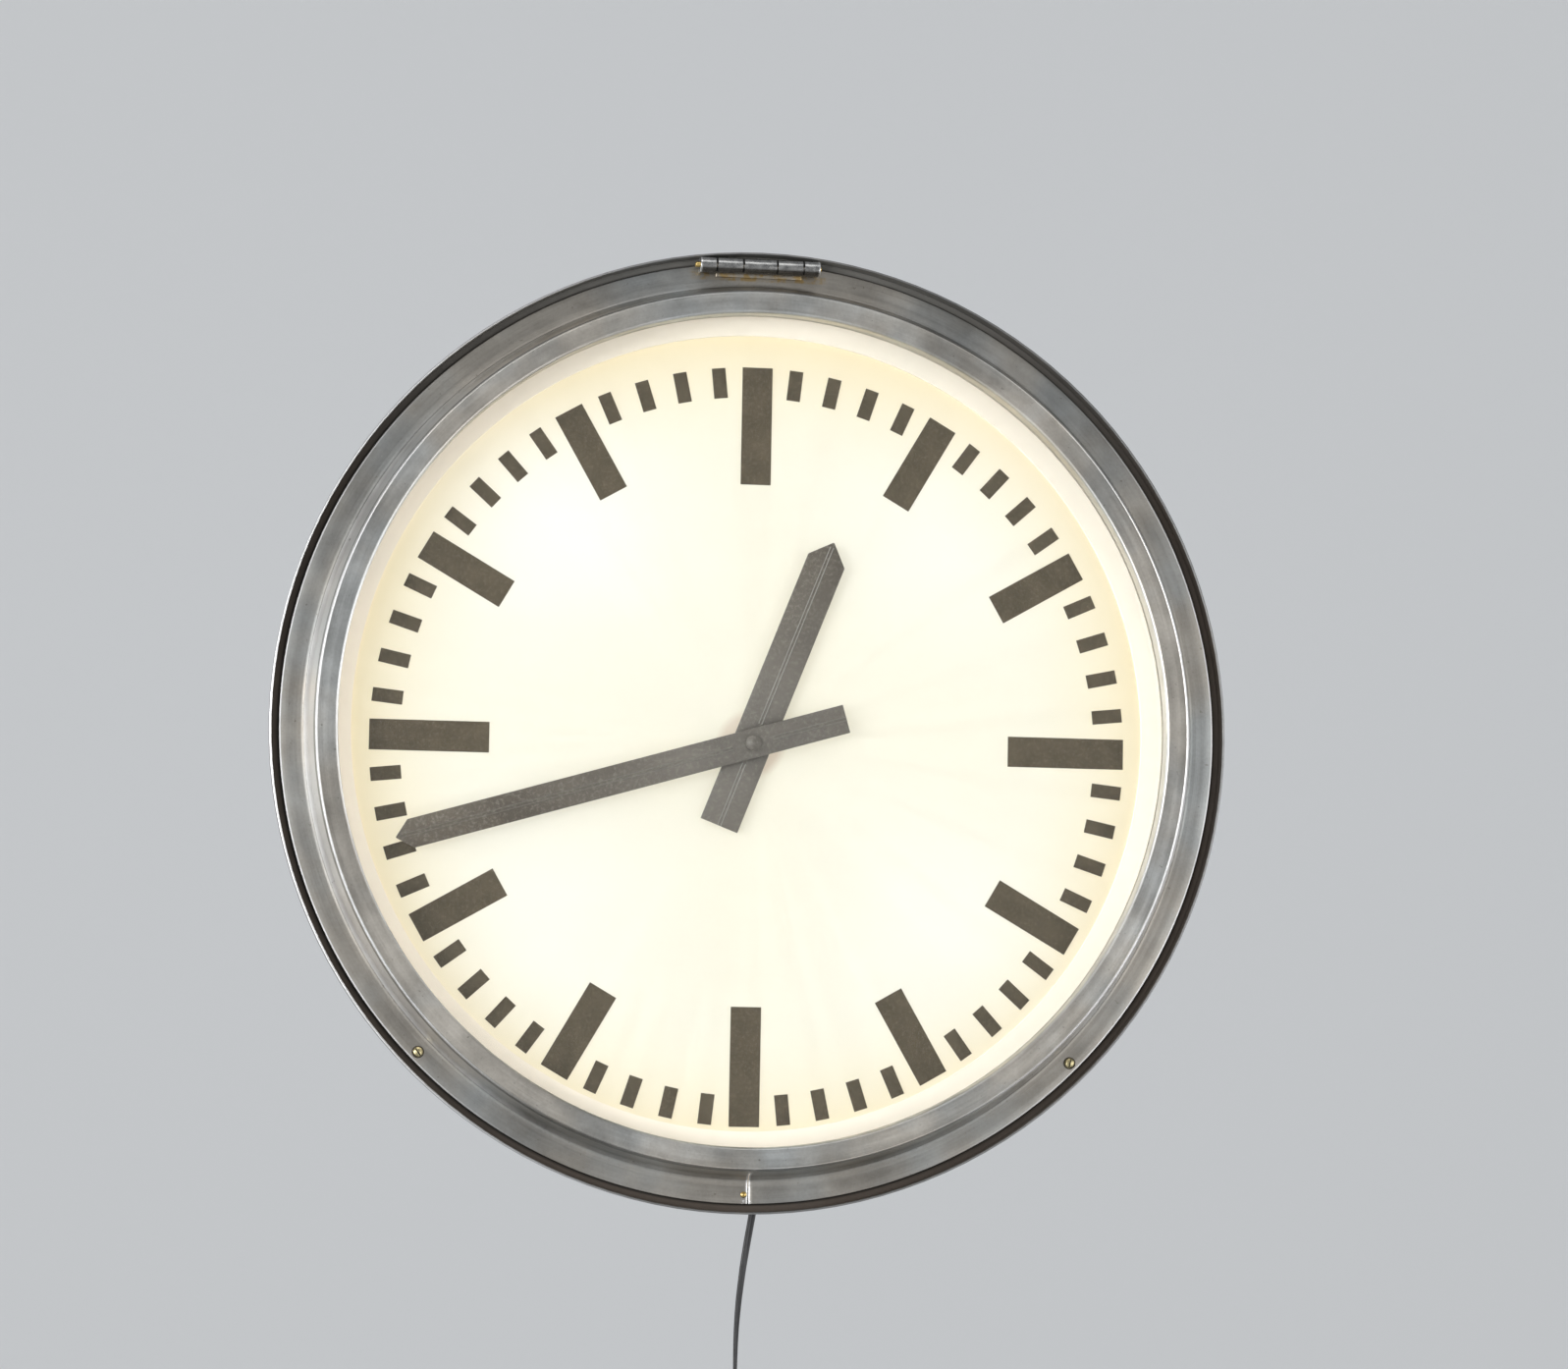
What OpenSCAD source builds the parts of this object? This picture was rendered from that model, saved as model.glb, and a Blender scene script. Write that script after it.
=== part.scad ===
// Station clock: wall-hung round case with a lit opal dial, a hinged and glazed door ring,
// and an impulse-driven slave movement. Everything is drawn face on (x right, y up, z out
// from the wall) and turned at the end, so that the wall lies at Y = 0 and the top is +Z.

/* [Case] */
// Outer radius of the drum wall
case_r = 306; // [290:1:330]
// Sheet thickness of the drum, the brackets and the door ring
sheet_t = 1.5; // [1:0.1:2]
// Height of the rebate floor's front face above the wall
case_h = 122; // [118:1:140]
// Step from the drum wall out to the lip
lip_step = 9; // [8:0.5:14]
// Height of the lip above the rebate floor
lip_h = 11; // [8:0.5:14]
// Width of the sealing strip on the rebate floor
door_seal_w = 3.2; // [2:0.1:3.4]
// Height of the sealing strip
door_seal_h = 2.2; // [1.5:0.1:4]

/* [Wall fixing] */
// Diameter of the circle that the four wall screws stand on
wall_pcd = 440; // [420:5:460]
// Radius of each wall screw's hole
wall_hole_r = 4.5; // [3:0.25:6]

/* [Door] */
// Gap between the door's flange and the lip
rim_gap = 4.9; // [4.5:0.1:6]
// Width of the flat flange
flange_w = 10.6; // [9:0.2:12]
// Width of the cove between the flange and the crest
cove_w = 12; // [8:0.5:14]
// Height of the crest above the flange
cove_h = 26; // [18:1:34]
// Width of the flat band between the crest and the window
band_w = 14.5; // [8:0.5:20]
// Depth of the window's edge below the crest
band_drop = 0.5; // [0:0.1:4]
// Length of the lip that turns back to the glass
return_h = 11.5; // [8:0.5:14]
// Thickness of the glass
glass_t = 3; // [2:0.5:5]
// Overlap of the glass behind the ring
glass_lap = 9; // [6:0.5:10]
// Thickness of the glass seal in front of and behind the glass
glass_seal_t = 1.75; // [1:0.25:2.5]
// Number of clips that hold the glass
clip_count = 8; // [4:1:12]
// Width of a glass clip
clip_w = 16; // [10:1:24]
// Width of the joint in the ring at its lowest point
seam_gap = 0.8; // [0.4:0.1:1.2]
// Sideways place of the joint
seam_x = 2; // [-4:0.5:4]
// Angle that the lock screws stand at, below the horizontal
lock_angle = 45; // [35:1:55]

/* [Hinge] */
// Length of the barrel
hinge_len = 80; // [60:1:90]
// Radius of the barrel
barrel_r = 5; // [4:0.25:5.5]
// Radius of the pin
hinge_pin_r = 1.8; // [1.2:0.1:2.4]
// Sideways place of the barrel's middle
hinge_x = -2; // [-6:1:6]
// Thickness of a leaf
leaf_t = 1.2; // [1:0.1:1.4]
// How far the pin's head stands out of the barrel
pin_proud = 3; // [1:0.5:5]

/* [Dial] */
// Depth of the dial's face below the rebate floor
dial_setback = 8; // [7:0.5:12]
// Thickness of the opal dial
dial_t = 3; // [2:0.5:5]
// Drop of the dial's centre below the case's centre
dial_drop = 9; // [6:1:12]
// Gap between the marks' circle and the white ring, at the dial's lowest point
marks_gap = 3; // [2:0.5:20]
// Height of the marks above the dial
mark_t = 0.5; // [0.3:0.1:1]
// Length of a minute mark
minute_mark_l = 20; // [12:1:30]
// Width of a minute mark
minute_mark_w = 9; // [4:0.5:12]
// Length of an hour bar
hour_bar_l = 62; // [45:1:70]
// Length of a quarter bar
quarter_bar_l = 78; // [60:1:90]
// Width of the hour bars and the quarter bars
hour_bar_w = 20; // [12:1:24]
// Width of the white ring that shows between the dial and the door
ring_show = 9.5; // [6:0.5:14]
// Thickness of the white ring
ring_t = 3; // [2:0.5:4]

/* [Hands] */
// Reach of the hour hand
hour_tip = 144; // [120:1:160]
// Tail of the hour hand
hour_tail = 58; // [40:1:70]
// Width of the hour hand
hour_w = 26; // [18:1:32]
// Gap between the minute hand's tip and the marks' circle
minute_tip_gap = 9; // [6:1:40]
// Tail of the minute hand
minute_tail = 64; // [40:1:80]
// Width of the minute hand
minute_w = 19; // [12:1:24]
// Thickness of both hands
hand_t = 1.5; // [1:0.1:2]
// Width of the pressed rib along a hand
hand_rib_w = 3; // [2:0.2:5]
// Height of the pressed rib along a hand
hand_rib_h = 0.5; // [0.3:0.1:0.8]
// Time that the hands show, in hours
clock_time = 12.705; // [0:0.005:24]

/* [Movement] */
// Tooth module of the train
train_module = 0.5; // [0.45:0.01:0.52]
// Tooth module of the cannon pinion and the motion wheel
motion_module = 1; // [0.9:0.02:1.04]
// Space between the movement's plates
plate_gap = 26; // [24:1:30]
// Thickness of the plates
plate_t = 2; // [1.5:0.25:3]
// Radius of the minute arbor
arbor_r = 2; // [1.5:0.1:2.2]
// Radius of the hour wheel's tube
hour_tube_r = 4.5; // [4:0.1:5.5]
// Radius of the boss behind the dial
boss_r = 19; // [12:1:22]

/* [Lamps] */
// Sideways place of each bulb's globe from the case's centre
lamp_x = 130; // [115:1:150]
// Upward or downward place of each bulb's globe from the case's centre
lamp_y = 128; // [122:1:140]
// Height of the bulbs' axis above the wall
lamp_z = 55; // [42:1:70]
// Radius of the globe
globe_r = 30; // [22:1:32]

/* [Cord] */
// Width of the flat twin flex
cord_w = 5; // [4:0.1:6]
// Thickness of the flat twin flex
cord_t = 2.5; // [2:0.1:3]
// Height of the cord's outlet above the wall
outlet_z = 24; // [16:1:40]

/* [Hidden] */
$fn = 96;
// Clearances, each with its use
fit_gap = 0.04;         // running fit of an arbor or pin in its bush
seat_gap = 0.02;        // one piece pressed or screwed onto another
free_gap = 0.3;         // pieces that move past each other
hole_gap = 0.2;         // a screw's shank in a clearance hole

// Case
drum_in_r = case_r - sheet_t;
lip_r = case_r + lip_step;
lip_in_r = lip_r - sheet_t;
lip_z = case_h + lip_h;
mount_count = 4;

// Door ring, from the outside in
flange_r = lip_in_r - rim_gap;
flange_back_z = case_h + door_seal_h + free_gap;
flange_z = flange_back_z + sheet_t;
cove_r = flange_r - flange_w;
crest_r = cove_r - cove_w;
crest_z = flange_z + cove_h;
window_r = crest_r - band_w;
window_z = crest_z - band_drop;
window_round = 2.2;
return_z = window_z - return_h;
crest_profile = [[-0.9, -0.3], [0, 0], [0.5, -0.5]];
crest_drop = 1.2;
cove_steps = 10;
band_slope = band_drop / band_w;
band_under = sheet_t * sqrt(1 + band_slope * band_slope);
door_seal_r = drum_in_r + free_gap;
door_seal_low_h = 1.6;

// Glass in its seal, pushed against the turned-back lip
glass_z = return_z - glass_seal_t - glass_t;
glass_seal_back_z = glass_z - glass_seal_t;
glass_r = window_r + glass_lap;
glass_seal_edge = 2;
glass_seal_r = glass_r + glass_seal_edge;
clip_lap = 7;
clip_foot = 6;
clip_start = 180 / clip_count;

// Screws
m4_r = 2;
m4_head_r = 3.5;
m4_head_h = 2.6;
m4_nut_flats = 7;
m4_nut_h = 3.2;
m3_r = 1.5;
head_dome = 2.6;
slot_w = 1;
slot_deep = 1.1;
lock_r = cove_r + 4.5;
lock_slot_turn = 20;
lock_tab_t = 3;
lock_tab_w = 20;
lock_tab_reach = 8.5;
lock_tab_h = 28;
lock_grip = 5;
rivet_r = 2;
rivet_shank_r = 1.2;
rivet_h = 1.3;
rivet_dome = 1.4;
rivet_x = seam_x - rivet_r - seam_gap;
joint_plate_l = 26;
joint_plate_w = 6;
joint_plate_t = 1.2;

// Hinge
hinge_lip_gap = 3.1;
hinge_y = lip_in_r - barrel_r - hinge_lip_gap;
hinge_z = flange_z + leaf_t + free_gap + barrel_r;
knuckle_gap = 0.35;
knuckle_share = [0.14, 0.22, 0.28, 0.22, 0.14];
leaf_edge_gap = 0.6;
leaf_root = 4;

// Dial and its ring
dial_z = case_h - dial_setback;
dial_back_z = dial_z - dial_t;
dial_y = -dial_drop;
ring_in_r = window_r - ring_show;
ring_edge_gap = 0.5;
ring_r = drum_in_r - sheet_t - ring_edge_gap;
dial_lap = 2;
dial_r = ring_in_r + dial_drop + dial_lap;
marks_r = ring_in_r - dial_drop - marks_gap;
dial_hole_r = 8;
bracket_count = 8;
bracket_start = 180 / bracket_count;
bracket_w = 22;
bracket_h = 26;
bracket_lap = 8;
ring_screw_r = ring_r - 10.5;
spacer_r = 4;

// Hands and what they sit on
hour_hand_z = dial_z + 6;
minute_hand_z = hour_hand_z + 5.5;
minute_tip = marks_r - minute_tip_gap;
hour_turn = -30 * clock_time;
minute_turn = -360 * clock_time;
hour_point = hour_w / 2;
minute_point = 10;
hub_clear = 14;
hour_hub_r = 9;
hour_hub_h = 2.8;
minute_hub_r = 6;
minute_hub_h = 1.7;
nut_r = 5;
nut_h = 4;
nut_dome = 1.5;
arbor_proud = 1.6;
rib_end_gap = 6;

// Movement plates, stacked from the boss behind the dial back to the rails
boss_h = 12.7;
bridge_gap = 18;
boss_z = dial_back_z - free_gap;
rail_z = boss_z - boss_h - bridge_gap - 2 * plate_t - plate_gap - m4_nut_h;
rear_plate_z = rail_z + m4_nut_h;
between_z = rear_plate_z + plate_t;
front_plate_z = between_z + plate_gap;
front_face_z = front_plate_z + plate_t;
bridge_z = front_face_z + bridge_gap;
bridge_face_z = bridge_z + plate_t;
plate_w = 90;
plate_low = -45;
plate_high = 75;
plate_corner = 8;
bridge_corner = 6;
pillar_r = 4;
pillar_x = 38;
pillar_low = plate_low + 7;
pillar_high = plate_high - 7;
bridge_half = 35;
bridge_pillar = 29;
bridge_pillar_r = 3;
rail_x = pillar_x;
rail_half = 8;
rail_foot = 12;

// Gearing: teeth that turn the hour hand once for twelve turns of the minute hand, then the
// pressure angle and the tooth heights in modules
train_teeth = 60;
third_pinion_teeth = 12;
rotor_pinion_teeth = 10;
motion_leaves = 12;
motion_teeth = 36;
hour_teeth = 48;
pressure = 20;
wheel_tip = 0.6;
pinion_tip = 1.1;
root_gap = 0.25;
backlash = 0.12;
train_far = train_module * (train_teeth + third_pinion_teeth) / 2;
rotor_far = train_module * (train_teeth + rotor_pinion_teeth) / 2;
motion_far = motion_module * (motion_teeth + motion_leaves) / 2;
hour_module = 2 * motion_far / (hour_teeth + motion_leaves);
third_y = train_far;
rotor_y = train_far + rotor_far;
centre_wheel_z = between_z + 8;
third_wheel_z = between_z + 18;
wheel_t = 2;
wheel_hub_r = 5;
wheel_hub_h = 2;
motion_hub_r = 6;
tube_collar = 2.5;
rim_share = 0.86;
third_pinion_z = centre_wheel_z - 2;
third_pinion_l = 6;
rotor_pinion_z = third_wheel_z - 2;
rotor_pinion_l = 6;
third_arbor_r = 1.25;
rotor_arbor_r = 1;
motion_arbor_r = 1.5;
bush_r = 3;
magnet_r = 9;
magnet_z = between_z + 4;
magnet_h = 11;
magnet_gap = 0.6;
stator_w = 3.6;
stator_arm = 8;
stator_z = between_z + 7;
stator_t = 5;
coil_y = rotor_y + 24;
coil_len = 24;
coil_r = 7.5;
coil_core_r = 4.5;
coil_flange = 1.5;
coil_rim = 1;
core_half = 18;
cannon_z = front_face_z + 3;
cannon_l = 5;
motion_wheel_z = cannon_z + 1;
motion_wheel_t = 3;
motion_pinion_l = 8;
hour_wheel_z = motion_wheel_z + motion_wheel_t + 4;
hour_tube_z = hour_wheel_z - 2;
hour_tube_end = hour_hand_z + hand_t + 1.2;

// Lamps: the bulb lies along y with its cap towards the middle
bulb_l = 107;
cap_r = 13;
cap_l = 27;
holder_r = 19;
holder_l = 36;
holder_wall = 5;
holder_edge = 2;
holder_stem_r = 5;
cap_wall = 1;
cap_contact_r = 5;
neck_in = 3;
neck_rise = 6;
holder_y = lamp_y + globe_r - bulb_l - holder_wall;
lamp_bracket_t = 2;
lamp_bracket_w = 40;
lamp_bracket_foot = 28;
lamp_bracket_rim = 4;
lamp_stud_x = 12;
holder_nut_r = 8;
holder_nut_h = 5;

// Electrical boxes on the back plate
driver_block_gap = 112;
driver_w = 92;
driver_d = 58;
driver_h = 34;
driver_wall = 2;
driver_ear = 12;
driver_ear_d = 12;
driver_lap = 3;
block_x = 20;
block_edge = 42.5;
block_y = block_edge - drum_in_r;
driver_y = block_y + driver_block_gap;
block_w = 48;
block_d = 22;
block_h = 20;
block_step_h = 14;
block_ear = 10;
block_ear_d = 10;
block_ways = 4;
way_r = 2.5;
way_screw_r = 2.3;
way_screw_h = 2;
way_screw_l = 6;
way_screw_drop = 3.4;
rail_stud_in = 14;
stud_h = 8;
foot_t = sheet_t;

// Wires inside the case
lamp_wire_r = 1.4;
coil_wire_r = 1;
wire_apart = 8;
wire_floor_z = 6;
wire_corner = [74, -225];
wire_inset = 34;
wire_side_y = [-170, -90, -30];
coil_wire_x = 30;
coil_wire_apart = 6;
coil_wire_z = 20;
coil_wire_side = 64;
coil_wire_run = [-86, -50, 0, 34];
lead_drop = 5;

// Cord outlet in the drum's lowest part
outlet_x = 19.5;
outlet_hole_r = 6;
grommet_r = 8.5;
grommet_out = 3.5;
grommet_in = 4;
grommet_neck_r = 6;
grommet_neck = 8;
grommet_tip_r = 3.4;
outlet_y = -sqrt(case_r * case_r - outlet_x * outlet_x);
cord_start_y = outlet_y - grommet_out - grommet_neck;

// Route of the free cord, straight down and then gently to the left
cord_path = [
    [19.5, cord_start_y, 24], [18.9, -321.5, 24], [17.8, -328, 24], [16.3, -337, 24],
    [14.9, -346, 24], [13.6, -355, 24], [12.4, -365, 24], [11.3, -375, 24],
    [10.5, -385, 24], [9.9, -395, 24], [9.6, -405, 24], [9.5, -415, 24],
    [9.5, -425, 24], [9.5, -435, 24], [9.5, -443, 24], [9.5, -451, 24],
    [9.5, -459, 24], [9.5, -468, 24]
];
cord_turn = [90, 90, 85, 80, 72, 64, 56, 48, 40, 32, 24, 17, 11, 6, 3, 0, 0, 0];

// Coil of the spare cord, two layers, wound in and out again
coil_turns = 9;
coil_out_r = 37;
coil_pitch = 2.7;
coil_layer = 5.5;
coil_steps = 24;
coil_x = 9.5 - coil_out_r;
coil_cy = -473;
tail_l = 40;
tail_y = coil_cy - cord_w;
plug_top = tail_y - tail_l;
plug_z = outlet_z + coil_layer;
plug_w = 35;
plug_t = 13.5;
plug_l = 34;
plug_taper = 2;
relief_l = 16;
relief_r = 3.5;
relief_rib_r = 4.5;
relief_ribs = 4;
relief_pitch = 3.6;
plug_pin_r = 2;
plug_pin_tip_r = 1.4;
plug_pin_l = 19;
plug_pin_apart = 18.6;
tie_t = 1.2;
tie_w = 6;
tie_slack = 0.4;
tie_head = [4, 7, 6];

// Turns a piece that is drawn face on to its place on the wall
module face_on() {
    rotate([90, 0, 0]) children();
}

// Moves a piece to the centre of the dial
module on_dial() {
    translate([0, dial_y, 0]) children();
}

// Repeats a piece round the case's axis
module round_case(count, start = 0) {
    for (i = [0 : count - 1]) rotate([0, 0, start + i * 360 / count]) children();
}

// Flat ring between two radii, from z upward
module ring(r_out, r_in, z, h) {
    translate([0, 0, z]) difference() {
        cylinder(r = r_out, h = h);
        translate([0, 0, -1]) cylinder(r = r_in, h = h + 2);
    }
}

// Cylinder from z upward
module rod(r, z, h) {
    translate([0, 0, z]) cylinder(r = r, h = h);
}

// Block centred on x, with y and z given from its low corner
module block(w, y, d, z, h) {
    translate([-w / 2, y, z]) cube([w, d, h]);
}

// Slotted screw head with a low dome, its shank running down from z = 0
module slotted_screw(shank_r, head_r, head_h, shank_l) {
    difference() {
        union() {
            intersection() {
                cylinder(r = head_r, h = head_h);
                translate([0, 0, head_h - head_dome * head_r]) sphere(r = head_dome * head_r);
            }
            translate([0, 0, -shank_l]) cylinder(r = shank_r, h = shank_l + 0.5, $fn = 32);
        }
        translate([-head_r - 1, -slot_w / 2, head_h - slot_deep])
            cube([2 * head_r + 2, slot_w, slot_deep + 1]);
    }
}

// Hexagon nut that stands on z = 0
module hex_nut(flats, bore_r, h) {
    difference() {
        cylinder(r = flats / sqrt(3), h = h, $fn = 6);
        translate([0, 0, -1]) cylinder(r = bore_r, h = h + 2, $fn = 32);
    }
}

// Involute of an angle, in degrees
function involute(a) = tan(a) * 180 / PI - a;

// Half the angle that a tooth spans at radius r
function tooth_half(r, m, teeth) =
    let (base = m * teeth / 2 * cos(pressure))
    let (at_pitch = 90 / teeth - backlash / (m * teeth) * 90 / PI + involute(pressure))
    r <= base ? at_pitch : at_pitch - involute(acos(base / r));

// Radii at which a flank is drawn, from its root to its tip
function flank(root, base, tip) = root < base
    ? [root, base, (base + tip) / 2, tip]
    : [root, (2 * root + tip) / 3, (root + 2 * tip) / 3, tip];

// Outline of an involute gear with its first tooth at the given angle
module gear_outline(m, teeth, tip_h, root_h, phase) {
    pitch_r = m * teeth / 2;
    radii = flank(pitch_r - root_h * m, pitch_r * cos(pressure), pitch_r + tip_h * m);
    last = len(radii) - 1;
    polygon([
        for (i = [0 : teeth - 1], side = [-1, 1], k = [0 : last])
            let (r = radii[side < 0 ? k : last - k])
            let (a = phase + i * 360 / teeth + side * tooth_half(r, m, teeth))
            [r * cos(a), r * sin(a)]
    ]);
}

module wheel(m, teeth, z, h, phase) {
    translate([0, 0, z]) linear_extrude(h)
        gear_outline(m, teeth, wheel_tip, pinion_tip + root_gap, phase);
}

module pinion(m, teeth, z, h, phase) {
    translate([0, 0, z]) linear_extrude(h)
        gear_outline(m, teeth, pinion_tip, wheel_tip + root_gap, phase);
}

// Round windows between the hub and the rim of a wheel
module crossings(count, pitch_r, hub_r) {
    rim_r = pitch_r * rim_share;
    hole_r = (rim_r - hub_r) / 2 * rim_share;
    for (i = [0 : count - 1]) rotate([0, 0, (i + 0.5) * 360 / count])
        translate([(hub_r + rim_r) / 2, 0, 0])
            cylinder(r = min(hole_r, hub_r + 1), h = 4 * case_h, center = true, $fn = 48);
}

// Point on a smooth curve through four neighbours, t from 0 to 1
function spline(a, b, c, d, t) =
    0.5 * (2 * b + (c - a) * t + (2 * a - 5 * b + 4 * c - d) * t * t
        + (3 * b - a - 3 * c + d) * t * t * t);

// Points of a smooth curve through all the given ones, with n steps between two of them
function curve(p, n) = [
    for (i = [0 : len(p) - 2], k = [0 : n - 1])
        spline(p[max(i - 1, 0)], p[i], p[i + 1], p[min(i + 2, len(p) - 1)], k / n),
    p[len(p) - 1]
];

function unit(v) = v / norm(v);

// Direction of a path at each of its points
function heading(p, i) =
    unit(p[min(i + 1, len(p) - 1)] - p[max(i - 1, 0)]);

// Ring of points round a path's point: wide along a, thin along b
function flat_ring(at, a, b, w, t, sides) = [
    for (k = [0 : sides - 1])
        at + a * w / 2 * cos(k * 360 / sides) + b * t / 2 * sin(k * 360 / sides)
];

// Closed skin over rings of equal length
module skin(rings) {
    sides = len(rings[0]);
    last = len(rings) - 1;
    polyhedron(
        points = [for (r = rings) for (p = r) p],
        faces = concat(
            [[for (k = [0 : sides - 1]) k]],
            [
                for (i = [0 : last - 1], k = [0 : sides - 1])
                    let (a = i * sides + k, b = i * sides + (k + 1) % sides)
                    each [[a, a + sides, b + sides], [a, b + sides, b]]
            ],
            [[for (k = [sides - 1 : -1 : 0]) last * sides + k]]
        )
    );
}

// Round wire along a path that never runs along the direction up, with its ends cut square
// to the directions in which it starts and ends
module wire(path, r, start, end, up = [0.4, -0.3, 1], sides = 6) {
    last = len(path) - 1;
    skin([
        for (i = [0 : last])
            let (d = i == 0 ? start : i == last ? end : heading(path, i))
            let (a = unit(cross(up, d)))
            flat_ring(path[i], a, cross(d, a), 2 * r, 2 * r, sides)
    ]);
}

// Profile of the door ring's cove from the crest down to the flange, at a depth in the sheet
function cove(depth) = [
    for (i = [1 : cove_steps])
        let (a = i * 90 / cove_steps)
        let (wide = cove_w + crest_profile[0][1] + depth, high = cove_h - crest_drop + depth)
        [cove_r - wide * cos(a), crest_z - crest_drop - high * sin(a)]
];
function reversed(list) = [for (i = [len(list) - 1 : -1 : 0]) list[i]];

// Distance from the case's centre to the dial's rim in the direction a
function dial_rim(a) =
    dial_y * sin(a) + sqrt(dial_r * dial_r - pow(dial_y * cos(a), 2));

// Places of the weld studs on the back plate: movement rails, lamp brackets, driver, block
stud_places = concat(
    [
        for (sx = [-1, 1], side = [-1, 1], y = [plate_low + rail_stud_in, plate_high - rail_stud_in])
            [sx * rail_x + side * (rail_half + rail_foot / 2), dial_y + y]
    ],
    [
        for (sx = [-1, 1], sy = [-1, 1], side = [-1, 1])
            [sx * lamp_x + side * lamp_stud_x,
                sy * (holder_y - lamp_bracket_foot / 2 - lamp_bracket_t)]
    ],
    [
        for (side = [-1, 1])
            [side * (driver_w + driver_ear) / 2, driver_y]
    ],
    [
        for (side = [-1, 1])
            [block_x + side * (block_w + block_ear) / 2, block_y]
    ]
);

// Holes for the weld studs in whatever stands on the back plate
module stud_holes() {
    for (p = stud_places)
        translate([p[0], p[1], 0]) cylinder(r = m4_r + hole_gap, h = sheet_t + foot_t + 3, $fn = 32);
}

// Case

module case_drum() {
    edge = sheet_t / 2;
    color("silver") face_on() difference() {
        union() {
            rotate_extrude($fn = 144) {
                polygon([
                    [0, 0], [case_r, 0], [case_r, case_h - sheet_t], [lip_r, case_h - sheet_t],
                    [lip_r, lip_z - edge], [lip_in_r, lip_z - edge], [lip_in_r, case_h],
                    [drum_in_r, case_h], [drum_in_r, sheet_t], [0, sheet_t]
                ]);
                translate([lip_r - edge, lip_z - edge]) circle(r = edge, $fn = 24);
            }
            for (p = stud_places)
                translate([p[0], p[1], edge])
                    cylinder(r = m4_r - seat_gap, h = edge + stud_h, $fn = 32);
        }
        round_case(mount_count)
            translate([wall_pcd / 2, 0, -1]) cylinder(r = wall_hole_r, h = sheet_t + 2);
        translate([outlet_x, 0, outlet_z]) rotate([90, 0, 0])
            translate([0, 0, case_r / 2]) cylinder(r = outlet_hole_r, h = case_r);
    }
}

// Strip of rubber on the rebate floor, lower where the door's edge dips under the hinge
module door_seal() {
    color("dimgray") face_on() difference() {
        ring(door_seal_r + door_seal_w, door_seal_r, case_h, door_seal_h);
        block(2 * (hinge_len / 2 + barrel_r), hinge_y - 3 * barrel_r, 6 * barrel_r,
            case_h + door_seal_low_h, door_seal_h);
    }
}

// Two tabs welded inside the drum that take the door's lock screws
module lock_brackets() {
    color("silver") face_on() for (side = [0, 1])
        rotate([0, 0, -lock_angle - side * (180 - 2 * lock_angle)]) difference() {
            intersection() {
                rod(drum_in_r - free_gap, flange_back_z - lock_tab_h, lock_tab_h - free_gap);
                union() {
                    translate([drum_in_r - lock_tab_reach, -lock_tab_w / 2,
                        flange_back_z - free_gap - lock_tab_t])
                        cube([lock_tab_reach, lock_tab_w, lock_tab_t]);
                    translate([0, -lock_tab_w / 2, 0]) intersection() {
                        translate([drum_in_r - lock_tab_reach, 0, 0])
                            cube([lock_tab_reach, lock_tab_w, flange_back_z]);
                        translate([0, lock_tab_w / 2, 0])
                            ring(drum_in_r, drum_in_r - sheet_t, 0, flange_back_z);
                    }
                }
            }
            translate([lock_r, 0, 0]) cylinder(r = m4_r + hole_gap, h = flange_z, $fn = 32);
        }
}

// Eight angle brackets that carry the dial's rim and the white ring
module dial_brackets() {
    color("silver") face_on() for (i = [0 : bracket_count - 1]) {
        a = bracket_start + i * 360 / bracket_count;
        inner = dial_rim(a) - bracket_lap;
        rotate([0, 0, a]) difference() {
            intersection() {
                rod(drum_in_r - free_gap, dial_back_z - bracket_h, bracket_h);
                union() {
                    translate([inner, -bracket_w / 2, dial_back_z - sheet_t])
                        cube([drum_in_r - inner, bracket_w, sheet_t]);
                    intersection() {
                        translate([inner, -bracket_w / 2, 0])
                            cube([drum_in_r - inner, bracket_w, dial_back_z]);
                        ring(drum_in_r, drum_in_r - sheet_t, 0, dial_back_z);
                    }
                }
            }
            translate([ring_screw_r, 0, 0]) cylinder(r = m4_r + seat_gap, h = case_h, $fn = 32);
        }
    }
}

// Places of the ring's screws
module at_ring_screws() {
    round_case(bracket_count, bracket_start) translate([ring_screw_r, 0, 0]) children();
}

module dial_spacers() {
    color("gainsboro") face_on() at_ring_screws()
        ring(spacer_r, m4_r + hole_gap, dial_back_z, dial_t, $fn = 32);
}

module dial_ring() {
    color("white") face_on() difference() {
        ring(ring_r, ring_in_r, dial_z, ring_t);
        at_ring_screws() cylinder(r = m4_r + hole_gap, h = case_h, $fn = 32);
    }
}

module dial_screws() {
    color("gainsboro") face_on() at_ring_screws()
        translate([0, 0, dial_z + ring_t])
            slotted_screw(m4_r, m4_head_r, m4_head_h, ring_t + dial_t + 4);
}

module opal_dial() {
    color("ivory") face_on() on_dial() ring(dial_r, dial_hole_r, dial_back_z, dial_t);
}

// Bars that end on the marks' circle, one for each listed minute
module dial_bars(minutes, len_of, width) {
    for (m = minutes) rotate([0, 0, -6 * m])
        translate([-width / 2, marks_r - len_of(m), dial_z])
            cube([width, len_of(m), mark_t]);
}

module dial_marks() {
    bar_l = function (m) m % 15 == 0 ? quarter_bar_l : hour_bar_l;
    mark_l = function (m) minute_mark_l;
    color("black") face_on() on_dial() {
        dial_bars([0 : 5 : 59], bar_l, hour_bar_w);
        dial_bars([for (m = [0 : 59]) if (m % 5 != 0) m], mark_l, minute_mark_w);
    }
}

// Hinge: five knuckles, the first, third and fifth on the case

function knuckle_start(i) = i == 0 ? 0 : knuckle_start(i - 1) + knuckle_share[i - 1] * hinge_len;

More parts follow.
